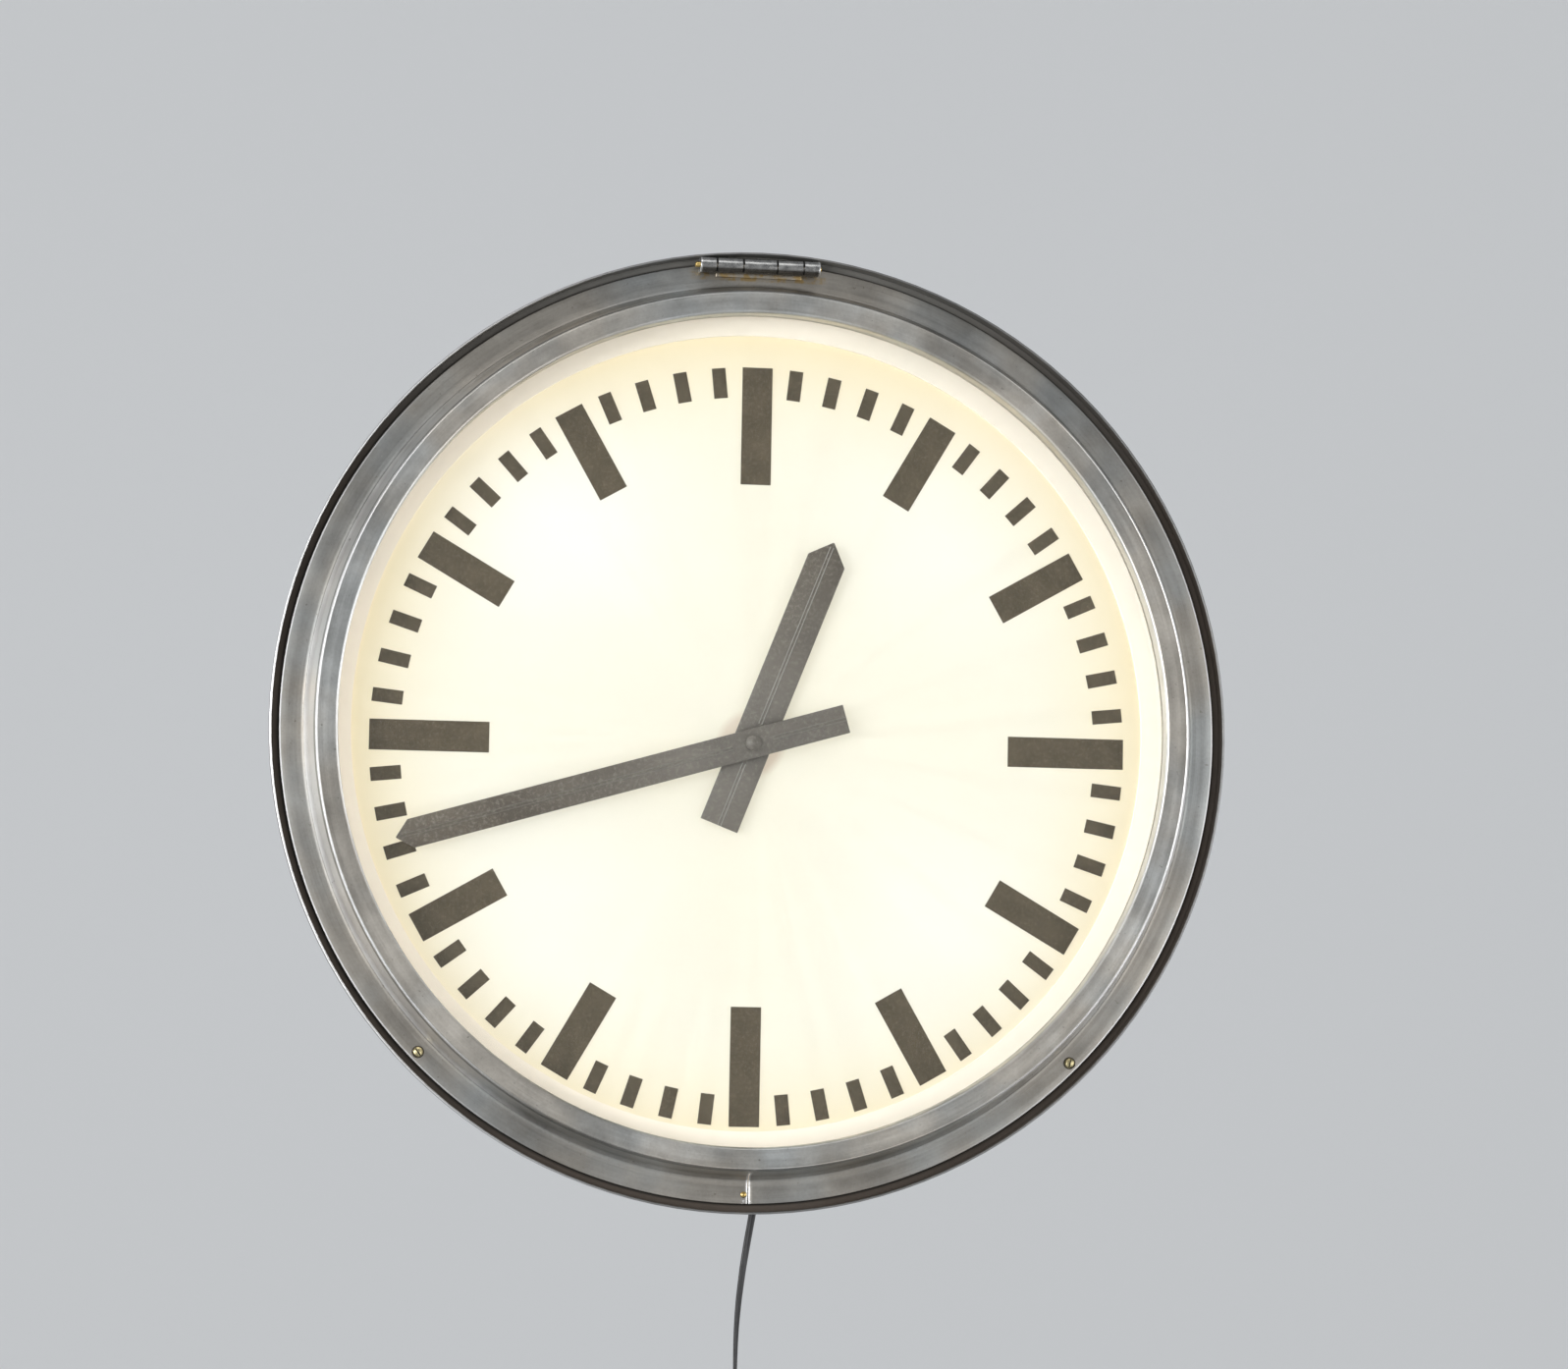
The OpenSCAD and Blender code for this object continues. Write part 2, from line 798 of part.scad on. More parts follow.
// Knuckle i of the barrel, lying along x
module knuckle(i, bore_r) {
    translate([hinge_x - hinge_len / 2 + knuckle_start(i) + knuckle_gap / 2, hinge_y, hinge_z])
        rotate([0, 90, 0]) difference() {
            children();
            translate([0, 0, -1]) cylinder(r = bore_r, h = hinge_len, $fn = 48);
        }
}

function knuckle_l(i) = knuckle_share[i] * hinge_len - knuckle_gap;

// Space that one leaf leaves for the other leaf's knuckle
module knuckle_room(i) {
    translate([hinge_x - hinge_len / 2 + knuckle_start(i) - knuckle_gap / 2,
        hinge_y - 2 * barrel_r, hinge_z - barrel_r - free_gap])
        cube([knuckle_share[i] * hinge_len + knuckle_gap, 4 * barrel_r, 3 * barrel_r]);
}

module hinge_case_leaf() {
    plate_top = hinge_y + barrel_r;
    color("silver") face_on() {
        difference() {
            translate([hinge_x - hinge_len / 2 + knuckle_gap / 2, plate_top - leaf_t, case_h])
                cube([hinge_len - knuckle_gap, leaf_t, hinge_z - case_h]);
            for (i = [1, 3]) knuckle_room(i);
            translate([hinge_x - hinge_len / 2 - 1, hinge_y, hinge_z]) rotate([0, 90, 0])
                cylinder(r = barrel_r - leaf_t, h = hinge_len + 2);
        }
        for (i = [0, 2, 4]) knuckle(i, hinge_pin_r + seat_gap)
            cylinder(r = barrel_r, h = knuckle_l(i));
    }
}

module hinge_door_leaf() {
    plate_y = cove_r + leaf_edge_gap;
    plate_d = hinge_y + barrel_r - leaf_t - leaf_edge_gap - plate_y;
    color("silver") face_on() {
        translate([hinge_x - hinge_len / 2 + knuckle_share[0] * hinge_len, plate_y, flange_z])
            cube([hinge_len * (1 - 2 * knuckle_share[0]), plate_d, leaf_t]);
        for (i = [1, 3]) {
            knuckle(i, hinge_pin_r + fit_gap) cylinder(r = barrel_r, h = knuckle_l(i));
            translate([hinge_x - hinge_len / 2 + knuckle_start(i) + knuckle_gap / 2,
                hinge_y - leaf_root / 2, flange_z])
                cube([knuckle_l(i), leaf_root, leaf_t + free_gap + barrel_r - hinge_pin_r - leaf_t]);
        }
    }
}

module hinge_pin() {
    color("gold") face_on() translate([hinge_x - hinge_len / 2 - pin_proud, hinge_y, hinge_z])
        rotate([0, 90, 0]) cylinder(r = hinge_pin_r, h = hinge_len + pin_proud + 1, $fn = 48);
}

// Cord inlet

module cable_grommet() {
    low = -outlet_y - grommet_in;
    high = -outlet_y + grommet_out;
    color("black") face_on() difference() {
        translate([outlet_x, 0, outlet_z]) rotate([90, 0, 0]) {
            rod(grommet_r, low, high - low);
            translate([0, 0, high])
                cylinder(r1 = grommet_neck_r, r2 = grommet_tip_r, h = grommet_neck);
        }
        difference() {
            ring(case_r + seat_gap, drum_in_r - seat_gap, 0, case_h, $fn = 144);
            translate([outlet_x, 0, outlet_z]) rotate([90, 0, 0])
                cylinder(r = outlet_hole_r - seat_gap, h = 2 * case_r);
        }
    }
}

// Twin flex inside the case, from the grommet to the terminal block
module inlet_lead() {
    low = outlet_y + grommet_in;
    end = block_y - block_d / 2;
    color("black") face_on() wire(curve([
        [outlet_x, low, outlet_z], [outlet_x, low + lead_drop, outlet_z],
        [outlet_x, low + 2 * lead_drop, outlet_z - lead_drop],
        [outlet_x, end - lead_drop, sheet_t + block_h / 2], [outlet_x, end, sheet_t + block_h / 2]
    ], 4), cord_t, [0, 1, 0], [0, 1, 0]);
}

// Places of the ways of the terminal block
module at_ways() {
    for (i = [0 : block_ways - 1])
        translate([block_x + (i - (block_ways - 1) / 2) * block_w / block_ways, block_y, 0])
            children();
}

module terminal_block() {
    color("white") face_on() difference() {
        union() {
            translate([block_x, 0, 0]) {
                block(block_w, block_y - block_d / 2, block_d, sheet_t, block_step_h);
                block(block_w, block_y - block_d / 4, block_d / 2, sheet_t, block_h);
                block(block_w + 2 * block_ear, block_y - block_ear_d / 2, block_ear_d, sheet_t, foot_t);
            }
        }
        stud_holes();
        at_ways() translate([0, 0, sheet_t + block_h / 2])
            cylinder(r = way_r, h = block_h, $fn = 32);
    }
}

module terminal_screws() {
    color("gold") face_on() at_ways() translate([0, 0, sheet_t + block_h - way_screw_drop])
        slotted_screw(m3_r, way_screw_r, way_screw_h, way_screw_l);
}

// Box of the impulse driver on the back plate, with its lid
module driver_box() {
    low = driver_y - driver_d / 2;
    color("dimgray") face_on() difference() {
        union() {
            block(driver_w, low, driver_d, sheet_t, driver_h - driver_wall);
            block(driver_w + 2 * driver_ear, driver_y - driver_ear_d / 2, driver_ear_d,
                sheet_t, foot_t);
        }
        block(driver_w - 2 * driver_wall, low + driver_wall, driver_d - 2 * driver_wall,
            sheet_t + driver_wall, driver_h);
        stud_holes();
    }
}

module driver_cover() {
    low = driver_y - driver_d / 2;
    inset = driver_wall + hole_gap;
    color("gray") face_on() {
        block(driver_w, low, driver_d, sheet_t + driver_h - driver_wall, driver_wall);
        difference() {
            block(driver_w - 2 * inset, low + inset, driver_d - 2 * inset,
                sheet_t + driver_h - driver_wall - driver_lap, driver_lap);
            block(driver_w - 4 * driver_wall, low + 2 * driver_wall, driver_d - 4 * driver_wall,
                0, sheet_t + driver_h - driver_wall);
        }
    }
}

module base_nuts() {
    color("gainsboro") face_on() for (p = stud_places)
        translate([p[0], p[1], sheet_t + foot_t]) hex_nut(m4_nut_flats, m4_r + seat_gap, m4_nut_h);
}

// Places of the four lamps, each with its cap towards the middle
module at_lamps() {
    for (sx = [-1, 1], sy = [0, 1])
        translate([sx * lamp_x, 0, 0]) mirror([0, sy, 0]) children();
}

module lamp_brackets() {
    back = holder_y - lamp_bracket_t;
    top = lamp_z + holder_r + lamp_bracket_rim;
    color("silver") face_on() difference() {
        at_lamps() difference() {
            union() {
                block(lamp_bracket_w, back - lamp_bracket_foot, lamp_bracket_foot + 1, sheet_t, foot_t);
                block(lamp_bracket_w, back, lamp_bracket_t, sheet_t, top - sheet_t);
            }
            translate([0, 0, lamp_z]) rotate([-90, 0, 0])
                cylinder(r = holder_stem_r + hole_gap, h = 2 * lamp_y, $fn = 48);
        }
        stud_holes();
    }
}

// Draws a body of revolution along y, from a profile of [radius, y] points
module along_y(profile) {
    translate([0, 0, lamp_z]) rotate([-90, 0, 0]) rotate_extrude($fn = 64) polygon(profile);
}

module lampholders() {
    color("whitesmoke") face_on() at_lamps() along_y([
        [0, holder_y], [holder_r - holder_edge, holder_y], [holder_r, holder_y + holder_edge],
        [holder_r, holder_y + holder_l - holder_edge], [holder_r - holder_edge, holder_y + holder_l],
        [cap_r + cap_wall, holder_y + holder_l], [cap_r + cap_wall, holder_y + holder_wall],
        [0, holder_y + holder_wall]
    ]);
}

module holder_nuts() {
    end = holder_y - lamp_bracket_t;
    color("gold") face_on() at_lamps() {
        translate([0, end, lamp_z]) rotate([90, 0, 0])
            cylinder(r = holder_nut_r, h = holder_nut_h, $fn = 6);
        translate([0, holder_y, lamp_z]) rotate([90, 0, 0])
            cylinder(r = holder_stem_r, h = lamp_bracket_t + 1, $fn = 48);
    }
}

// Pear-shaped glass of a filament-size bulb
module bulb_globes() {
    neck_y = holder_y + holder_wall + cap_l;
    color("white") face_on() at_lamps() along_y(concat(
        [
            [0, neck_y - neck_in], [cap_r - cap_wall, neck_y - neck_in],
            [cap_r - cap_wall, neck_y], [cap_r + cap_wall, neck_y + neck_rise]
        ],
        [
            for (a = [-48 : 12 : 84])
                [globe_r * cos(a), lamp_y + globe_r * sin(a)]
        ],
        [[0, lamp_y + globe_r]]
    ));
}

module bulb_caps() {
    low = holder_y + holder_wall;
    shoulder = low + cap_contact_r;
    floor_y = low + cap_l - neck_in - seat_gap;
    bore_r = cap_r - cap_wall + seat_gap;
    color("gainsboro") face_on() at_lamps() along_y([
        [0, low], [cap_contact_r, low], [cap_r - cap_wall, shoulder - cap_wall],
        [cap_r, shoulder], [cap_r, low + cap_l], [bore_r, low + cap_l], [bore_r, floor_y],
        [0, floor_y]
    ]);
}

// Two wires on each side, from the terminal block up to the holders
module lamp_wires() {
    start = [block_x, block_y + block_d / 2, sheet_t + block_h / 2];
    end_y = holder_y - lamp_bracket_t - holder_nut_h;
    floor_z = wire_floor_z;
    color("ivory") face_on() for (sx = [-1, 1], up = [0, 1]) {
        from = start + [sx * (wire_inset / 2 - up * wire_apart), 0, 0];
        sign = 2 * up - 1;
        side = sx * (lamp_x - wire_inset - wire_apart * up);
        wire(curve(concat(
            [from, from + [0, wire_apart + up * wire_apart / 2, 0]],
            [[sx * (wire_corner[0] - up * wire_apart), wire_corner[1] + up * wire_apart, floor_z + 2]],
            [for (y = wire_side_y) [side, y, floor_z]],
            [
                [sx * (lamp_x - lamp_stud_x), sign * wire_apart, 3 * floor_z],
                [sx * lamp_x, sign * (end_y - 2 * wire_apart), lamp_z - wire_apart],
                [sx * lamp_x, sign * end_y, lamp_z]
            ]
        ), 3), lamp_wire_r, [0, 1, 0], [0, sign, 0]);
    }
}

// Pair of wires from the driver to the coil
module coil_wires() {
    start_y = driver_y + driver_d / 2;
    over_arm = stator_z + stator_t + 3 * coil_wire_r;
    color("firebrick") face_on() for (i = [0, 1])
        let (
            apart = i * coil_wire_apart, near = coil_wire_side - coil_wire_apart,
            low = coil_wire_z + apart, end_y = dial_y + coil_y + (i - 0.5) * coil_wire_apart
        )
        wire(curve([
            [coil_wire_x - apart, start_y, coil_wire_z],
            [coil_wire_x - apart, start_y + wire_apart, coil_wire_z],
            [near, coil_wire_run[0], low], [coil_wire_side, coil_wire_run[1], low],
            [coil_wire_side, coil_wire_run[2], low + coil_wire_z],
            [near + apart, coil_wire_run[3] + apart, over_arm],
            [near - coil_wire_z, end_y, over_arm], [coil_len / 2, end_y, over_arm]
        ], 3), coil_wire_r, [0, 1, 0], [-1, 0, 0]);
}

// Movement

// Places of the four pillars between the plates
module at_pillars() {
    for (sx = [-1, 1], y = [pillar_low, pillar_high])
        translate([sx * pillar_x, dial_y + y, 0]) children();
}

// Two hat-section rails that carry the movement
module movement_rails() {
    length = plate_high - plate_low;
    foot = rail_half + rail_foot;
    color("silver") face_on() difference() {
        for (sx = [-1, 1]) translate([sx * rail_x, dial_y + plate_high, 0])
            rotate([90, 0, 0]) linear_extrude(length) polygon([
                [-foot, sheet_t], [-rail_half + sheet_t, sheet_t],
                [-rail_half + sheet_t, rail_z - sheet_t], [rail_half - sheet_t, rail_z - sheet_t],
                [rail_half - sheet_t, sheet_t], [foot, sheet_t], [foot, sheet_t + foot_t],
                [rail_half, sheet_t + foot_t], [rail_half, rail_z], [-rail_half, rail_z],
                [-rail_half, sheet_t + foot_t], [-foot, sheet_t + foot_t]
            ]);
        stud_holes();
        at_pillars() translate([0, 0, rail_z - 2 * sheet_t])
            cylinder(r = m4_r + hole_gap, h = 3 * sheet_t, $fn = 32);
    }
}

// Plate with round corners, centred on the dial's axis
module movement_plate(z) {
    r = plate_corner;
    difference() {
        on_dial() translate([0, 0, z]) linear_extrude(plate_t) hull()
            for (sx = [-1, 1], y = [plate_low + r, plate_high - r])
                translate([sx * (plate_w / 2 - r), y]) circle(r = r, $fn = 32);
        at_pillars() cylinder(r = m4_r + hole_gap, h = case_h, $fn = 32);
        children();
    }
}

// Places of the arbors that run in both plates
module at_train() {
    for (y = [0, third_y, rotor_y]) translate([0, dial_y + y, 0]) children();
}

module at_motion_arbor() {
    translate([-motion_far, dial_y, 0]) children();
}

module rear_plate() {
    color("goldenrod") face_on() movement_plate(rear_plate_z)
        at_train() rod(bush_r + seat_gap, rear_plate_z - 1, plate_t + 2);
}

module front_plate() {
    color("goldenrod") face_on() movement_plate(front_plate_z) {
        at_train() rod(bush_r + seat_gap, front_plate_z - 1, plate_t + 2);
        at_motion_arbor() rod(bush_r + seat_gap, front_plate_z - 1, plate_t + 2);
        at_bridge_pillars() rod(m3_r + seat_gap, front_plate_z - 1, plate_t + 2);
    }
}

module plate_pillars() {
    low = rail_z - sheet_t - m4_nut_h - 1;
    high = front_face_z + m4_nut_h + 1;
    color("gainsboro") face_on() at_pillars() {
        rod(pillar_r, between_z, plate_gap);
        rod(m4_r - seat_gap, low, high - low);
    }
}

module plate_nuts() {
    color("gainsboro") face_on() at_pillars() {
        translate([0, 0, front_face_z]) hex_nut(m4_nut_flats, m4_r, m4_nut_h);
        translate([0, 0, rail_z]) hex_nut(m4_nut_flats, m4_r, m4_nut_h);
        translate([0, 0, rail_z - sheet_t - m4_nut_h]) hex_nut(m4_nut_flats, m4_r, m4_nut_h);
    }
}

// Bushes pressed into the plates and the bridge, one for each pivot
module plate_bushes() {
    color("gold") face_on() {
        for (z = [rear_plate_z, front_plate_z]) {
            on_dial() ring(bush_r, arbor_r + fit_gap, z, plate_t, $fn = 48);
            on_dial() translate([0, third_y, 0])
                ring(bush_r, third_arbor_r + fit_gap, z, plate_t, $fn = 48);
            on_dial() translate([0, rotor_y, 0])
                ring(bush_r, rotor_arbor_r + fit_gap, z, plate_t, $fn = 48);
        }
        for (z = [front_plate_z, bridge_z]) at_motion_arbor()
            ring(bush_r, motion_arbor_r + fit_gap, z, plate_t, $fn = 48);
    }
}

// Laminated iron round the rotor, with two arms and a core through the coil
module stator() {
    color("dimgray") face_on() on_dial() translate([0, 0, stator_z]) linear_extrude(stator_t)
        difference() {
            union() {
                translate([0, rotor_y]) circle(r = magnet_r + magnet_gap + stator_w, $fn = 64);
                for (sx = [-1, 1])
                    translate([sx * core_half - stator_w / 2, rotor_y - stator_arm / 2])
                        square([stator_w, coil_y - rotor_y + (stator_arm + stator_w) / 2]);
                translate([-core_half, rotor_y - stator_arm / 2])
                    square([2 * core_half, stator_arm]);
                translate([-core_half, coil_y - stator_w / 2]) square([2 * core_half, stator_w]);
            }
            translate([0, rotor_y]) circle(r = magnet_r + magnet_gap, $fn = 64);
        }
}

module coil_bobbin() {
    color("whitesmoke") face_on() translate([0, dial_y + coil_y, stator_z + stator_t / 2])
        difference() {
            rotate([0, 90, 0]) union() {
                cylinder(r = coil_core_r, h = coil_len, center = true);
                for (s = [-1, 1]) translate([0, 0, s * (coil_len - coil_flange) / 2])
                    cylinder(r = coil_r + coil_rim, h = coil_flange, center = true);
            }
            cube([2 * coil_len, stator_w + hole_gap, stator_t + hole_gap], center = true);
        }
}

module coil_winding() {
    color("peru") face_on() translate([0, dial_y + coil_y, stator_z + stator_t / 2])
        rotate([0, 90, 0]) translate([0, 0, coil_flange - coil_len / 2])
            ring(coil_r, coil_core_r + seat_gap, 0, coil_len - 2 * coil_flange);
}

module at_bridge_pillars() {
    on_dial() for (sx = [-1, 1], sy = [-1, 1])
        translate([sx * bridge_pillar, sy * bridge_pillar, 0]) children();
}

// Bridge over the motion work, with the boss that the dial's centre lies over
module motion_bridge() {
    r = bridge_corner;
    color("goldenrod") face_on() difference() {
        union() {
            on_dial() translate([0, 0, bridge_z]) linear_extrude(plate_t) hull()
                for (sx = [-1, 1], sy = [-1, 1])
                    translate([sx * (bridge_half - r), sy * (bridge_half - r)])
                        circle(r = r, $fn = 32);
            on_dial() rod(boss_r, bridge_z, boss_z - bridge_z);
        }
        on_dial() rod(hour_tube_r + fit_gap, bridge_z - 1, case_h);
        at_motion_arbor() rod(bush_r + seat_gap, bridge_z - 1, plate_t + 2);
        at_bridge_pillars() rod(m3_r + seat_gap, bridge_z - 1, plate_t + 2);
    }
}

module bridge_pillars() {
    color("gainsboro") face_on() at_bridge_pillars() {
        rod(bridge_pillar_r, front_face_z, bridge_gap, $fn = 32);
        rod(m3_r, front_plate_z, 2 * plate_t + bridge_gap, $fn = 32);
    }
}

// Door

// Pressed ring: flange, cove, crest, flat band and the lip that turns back to the glass.
// Its two ends meet across the flange and the cove at the bottom.
module door_ring() {
    under = crest_profile[0][0];
    color("silver") face_on() difference() {
        rotate_extrude($fn = 144) polygon(concat(
            [[window_r, return_z]],
            [for (a = [0 : 30 : 90])
                [window_r, window_z] + window_round * [1 - cos(a), sin(a) - 1]],
            [for (p = crest_profile) [crest_r, crest_z] + p],
            cove(0),
            [[flange_r, flange_z], [flange_r, flange_back_z]],
            reversed(cove(sheet_t)),
            [
                [crest_r + under, crest_z + under * band_slope - band_under],
                [window_r + sheet_t, window_z + sheet_t * band_slope - band_under],
                [window_r + sheet_t, return_z]
            ]
        ));
        translate([seam_x - seam_gap / 2, -flange_r - 1, 0])
            cube([seam_gap, flange_r + 1 - crest_r - sheet_t, crest_z + 1]);
        at_lock_screws() cylinder(r = m4_r + hole_gap, h = crest_z, $fn = 32);
        translate([rivet_x, -lock_r, 0])
            cylinder(r = rivet_shank_r + seat_gap, h = crest_z, $fn = 32);
    }
}

module at_lock_screws() {
    for (side = [0, 1]) rotate([0, 0, -lock_angle - side * (180 - 2 * lock_angle)])
        translate([lock_r, 0, 0]) children();
}

module lock_screws() {
    color("gold") face_on() at_lock_screws() translate([0, 0, flange_z])
        rotate([0, 0, lock_slot_turn]) slotted_screw(m4_r, m4_head_r, m4_head_h, sheet_t + lock_grip);
}

// Strap behind the flange that holds the two ends of the ring
module ring_joint_plate() {
    color("silver") face_on() difference() {
        block(joint_plate_l, 2 * free_gap - door_seal_r, joint_plate_w,
            flange_back_z - joint_plate_t, joint_plate_t);
        translate([rivet_x, -lock_r, 0])
            cylinder(r = rivet_shank_r + seat_gap, h = crest_z, $fn = 32);
    }
}

module joint_rivet() {
    color("gold") face_on() translate([rivet_x, -lock_r, flange_z]) {
        intersection() {
            cylinder(r = rivet_r, h = rivet_h);
            translate([0, 0, rivet_h - rivet_dome * rivet_r]) sphere(r = rivet_dome * rivet_r);
        }
        translate([0, 0, -sheet_t - joint_plate_t])
            cylinder(r = rivet_shank_r, h = sheet_t + joint_plate_t + free_gap, $fn = 32);
    }
}

module door_glass() {
    color("lightblue", 0.3) face_on() rod(glass_r, glass_z, glass_t);
}

// Channel of rubber round the rim of the glass
module glass_seal() {
    color("black") face_on() difference() {
        ring(glass_seal_r, window_r + 0.3, glass_seal_back_z, return_z - glass_seal_back_z);
        rod(glass_r + seat_gap, glass_z, glass_t);
    }
}

// Clips from the back of the flange to the back of the seal
module glass_clips() {
    foot_r = cove_r + clip_foot - 1;
    pad_r = glass_seal_r - clip_lap;
    low = flange_back_z - sheet_t;
    color("silver") face_on() round_case(clip_count, clip_start) translate([0, clip_w / 2, 0])
        rotate([90, 0, 0]) linear_extrude(clip_w) polygon([
            [foot_r, low], [foot_r, flange_back_z], [cove_r - clip_foot, flange_back_z],
            [glass_seal_r + 1, flange_back_z], [glass_seal_r + 1, glass_seal_back_z],
            [pad_r, glass_seal_back_z], [pad_r, glass_seal_back_z - sheet_t],
            [glass_seal_r - 0.5, glass_seal_back_z - sheet_t], [glass_seal_r - 0.5, low]
        ]);
}

// Hands and what turns with them

// Flat hand that points up, with a pressed rib on both sides of its hub
module hand(tip, tail, w, point, bore_r) {
    rib_end = point + rib_end_gap;
    difference() {
        linear_extrude(hand_t) polygon([
            [-w / 2, -tail], [w / 2, -tail], [w / 2, tip - point], [0, tip], [-w / 2, tip - point]
        ]);
        translate([0, 0, -1]) cylinder(r = bore_r, h = hand_t + 2, $fn = 48);
    }
    for (span = [[hub_clear, tip - rib_end], [-tail, -hub_clear]])
        translate([-hand_rib_w / 2, span[0], hand_t]) difference() {
            cube([hand_rib_w, span[1] - span[0], hand_rib_h]);
            translate([hand_rib_w / 3, -1, hand_rib_h / 2])
                cube([hand_rib_w / 3, span[1] - span[0] + 2, hand_rib_h]);
        }
}

module minute_arbor() {
    color("gainsboro") face_on() on_dial()
        rod(arbor_r, rear_plate_z - 1, minute_hand_z + hand_t + arbor_proud - rear_plate_z + 1, $fn = 48);
}

// Phase that puts a tooth of the driver, or a gap of the driven gear, on the line of centres
function tooth_on(a) = a;
function gap_on(a, teeth) = a + 180 / teeth;

module centre_wheel() {
    color("gold") face_on() on_dial() difference() {
        union() {
            wheel(train_module, train_teeth, centre_wheel_z, wheel_t, tooth_on(90));
            rod(wheel_hub_r, centre_wheel_z - wheel_hub_h, wheel_t + wheel_hub_h);
        }
        rod(arbor_r + seat_gap, 0, case_h, $fn = 48);
        crossings(5, train_module * train_teeth / 2, wheel_hub_r);
    }
}

module cannon_pinion() {
    color("gainsboro") face_on() on_dial() difference() {
        pinion(motion_module, motion_leaves, cannon_z, cannon_l, tooth_on(180));
        rod(arbor_r + seat_gap, 0, case_h, $fn = 48);
    }
}

module minute_hub() {
    color("gainsboro") face_on() on_dial()
        ring(minute_hub_r, arbor_r + seat_gap, minute_hand_z - minute_hub_h, minute_hub_h, $fn = 64);
}

module minute_hand() {
    color("black") face_on() on_dial() translate([0, 0, minute_hand_z])
        rotate([0, 0, minute_turn])
            hand(minute_tip, minute_tail, minute_w, minute_point, arbor_r + seat_gap);
}

// Round cap nut on the end of the minute arbor
module hand_nut() {
    color("dimgray") face_on() on_dial() translate([0, 0, minute_hand_z + hand_t]) difference() {
        intersection() {
            cylinder(r = nut_r, h = nut_h, $fn = 64);
            translate([0, 0, nut_h - nut_dome * nut_r]) sphere(r = nut_dome * nut_r, $fn = 64);
        }
        translate([0, 0, -1]) cylinder(r = arbor_r + seat_gap, h = arbor_proud + 1 + seat_gap, $fn = 48);
    }
}

// Hour wheel on its tube, which runs on the minute arbor and in the boss
module hour_wheel() {
    color("gold") face_on() on_dial() difference() {
        union() {
            wheel(hour_module, hour_teeth, hour_wheel_z, wheel_t, gap_on(180, hour_teeth));
            rod(hour_tube_r + tube_collar, hour_tube_z, hour_wheel_z - hour_tube_z + 1);
            rod(hour_tube_r, hour_tube_z, hour_tube_end - hour_tube_z);
        }
        rod(arbor_r + fit_gap, 0, 2 * case_h, $fn = 48);
        crossings(6, hour_module * hour_teeth / 2, hour_tube_r + tube_collar);
    }
}

module hour_hub() {
    color("gainsboro") face_on() on_dial()
        ring(hour_hub_r, hour_tube_r + seat_gap, hour_hand_z - hour_hub_h, hour_hub_h, $fn = 64);
}

module hour_hand() {
    color("black") face_on() on_dial() translate([0, 0, hour_hand_z])
        rotate([0, 0, hour_turn])
            hand(hour_tip, hour_tail, hour_w, hour_point, hour_tube_r + seat_gap);
}

// Motion wheel and its pinion on one arbor
module motion_wheel() {
    pinion_z = motion_wheel_z + motion_wheel_t;
    color("gold") face_on() at_motion_arbor() {
        difference() {
            wheel(motion_module, motion_teeth, motion_wheel_z, motion_wheel_t,
                gap_on(0, motion_teeth));
            crossings(5, motion_module * motion_teeth / 2, motion_hub_r);
        }
        pinion(hour_module, motion_leaves, pinion_z, motion_pinion_l, tooth_on(0));
        rod(motion_arbor_r, front_plate_z, bridge_face_z - front_plate_z, $fn = 48);
    }
}

// Third wheel and its pinion on one arbor
module third_wheel() {
    color("gold") face_on() on_dial() translate([0, third_y, 0]) {
        difference() {
            wheel(train_module, train_teeth, third_wheel_z, wheel_t, tooth_on(90));
            crossings(5, train_module * train_teeth / 2, wheel_hub_r);
        }
        pinion(train_module, third_pinion_teeth, third_pinion_z, third_pinion_l,
            gap_on(-90, third_pinion_teeth));
        rod(third_arbor_r, rear_plate_z, front_face_z - rear_plate_z, $fn = 48);
    }
}

// Magnet rotor with its pinion
module rotor() {
    color("dimgray") face_on() on_dial() translate([0, rotor_y, 0]) {
        rod(magnet_r, magnet_z, magnet_h);
        pinion(train_module, rotor_pinion_teeth, rotor_pinion_z, rotor_pinion_l,
            gap_on(-90, rotor_pinion_teeth));
        rod(rotor_arbor_r, rear_plate_z, front_face_z - rear_plate_z, $fn = 48);
    }
}

// Cord

// Section of the flat flex, turned about the vertical by its twist
function cord_ring(at, turn) =
    flat_ring(at, [cos(turn), 0, sin(turn)], [-sin(turn), 0, cos(turn)], cord_w, cord_t, 8);

module cord() {
    color("black") face_on() skin([
        for (i = [0 : len(cord_path) - 1]) cord_ring(cord_path[i], cord_turn[i] + 90)
    ]);
}

// Radius and layer of the coil after t turns
coil_half = coil_turns / 2;
function coil_radius(t) = coil_out_r - coil_pitch * (coil_half - abs(t - coil_half));
function coil_height(t) = coil_layer * min(max((t - coil_half) * 2 + 0.5, 0), 1);

// Place, and the section's two directions, after t turns
function coil_ring(t) =
    let (a = -360 * t, out = [cos(a), sin(a), 0])
    flat_ring([coil_x, coil_cy, outlet_z + coil_height(t)] + out * coil_radius(t),
        [0, 0, -1], out, cord_w, cord_t, 6);
function straight_ring(y, z) =
    flat_ring([coil_x + coil_out_r, y, z], [0, 0, -1], [1, 0, 0], cord_w, cord_t, 6);
coil_rings = [for (i = [0 : coil_turns * coil_steps]) coil_ring(i / coil_steps)];

// Least distance between points of turns that lie beside or on each other
coil_gap = min([
    for (i = [0 : coil_turns * coil_steps], j = [i + coil_steps : coil_steps : coil_turns * coil_steps])
        for (p = coil_rings[i], q = coil_rings[j]) norm(p - q)
]);
echo(str("least gap between the coil's turns: ", coil_gap, " mm"));

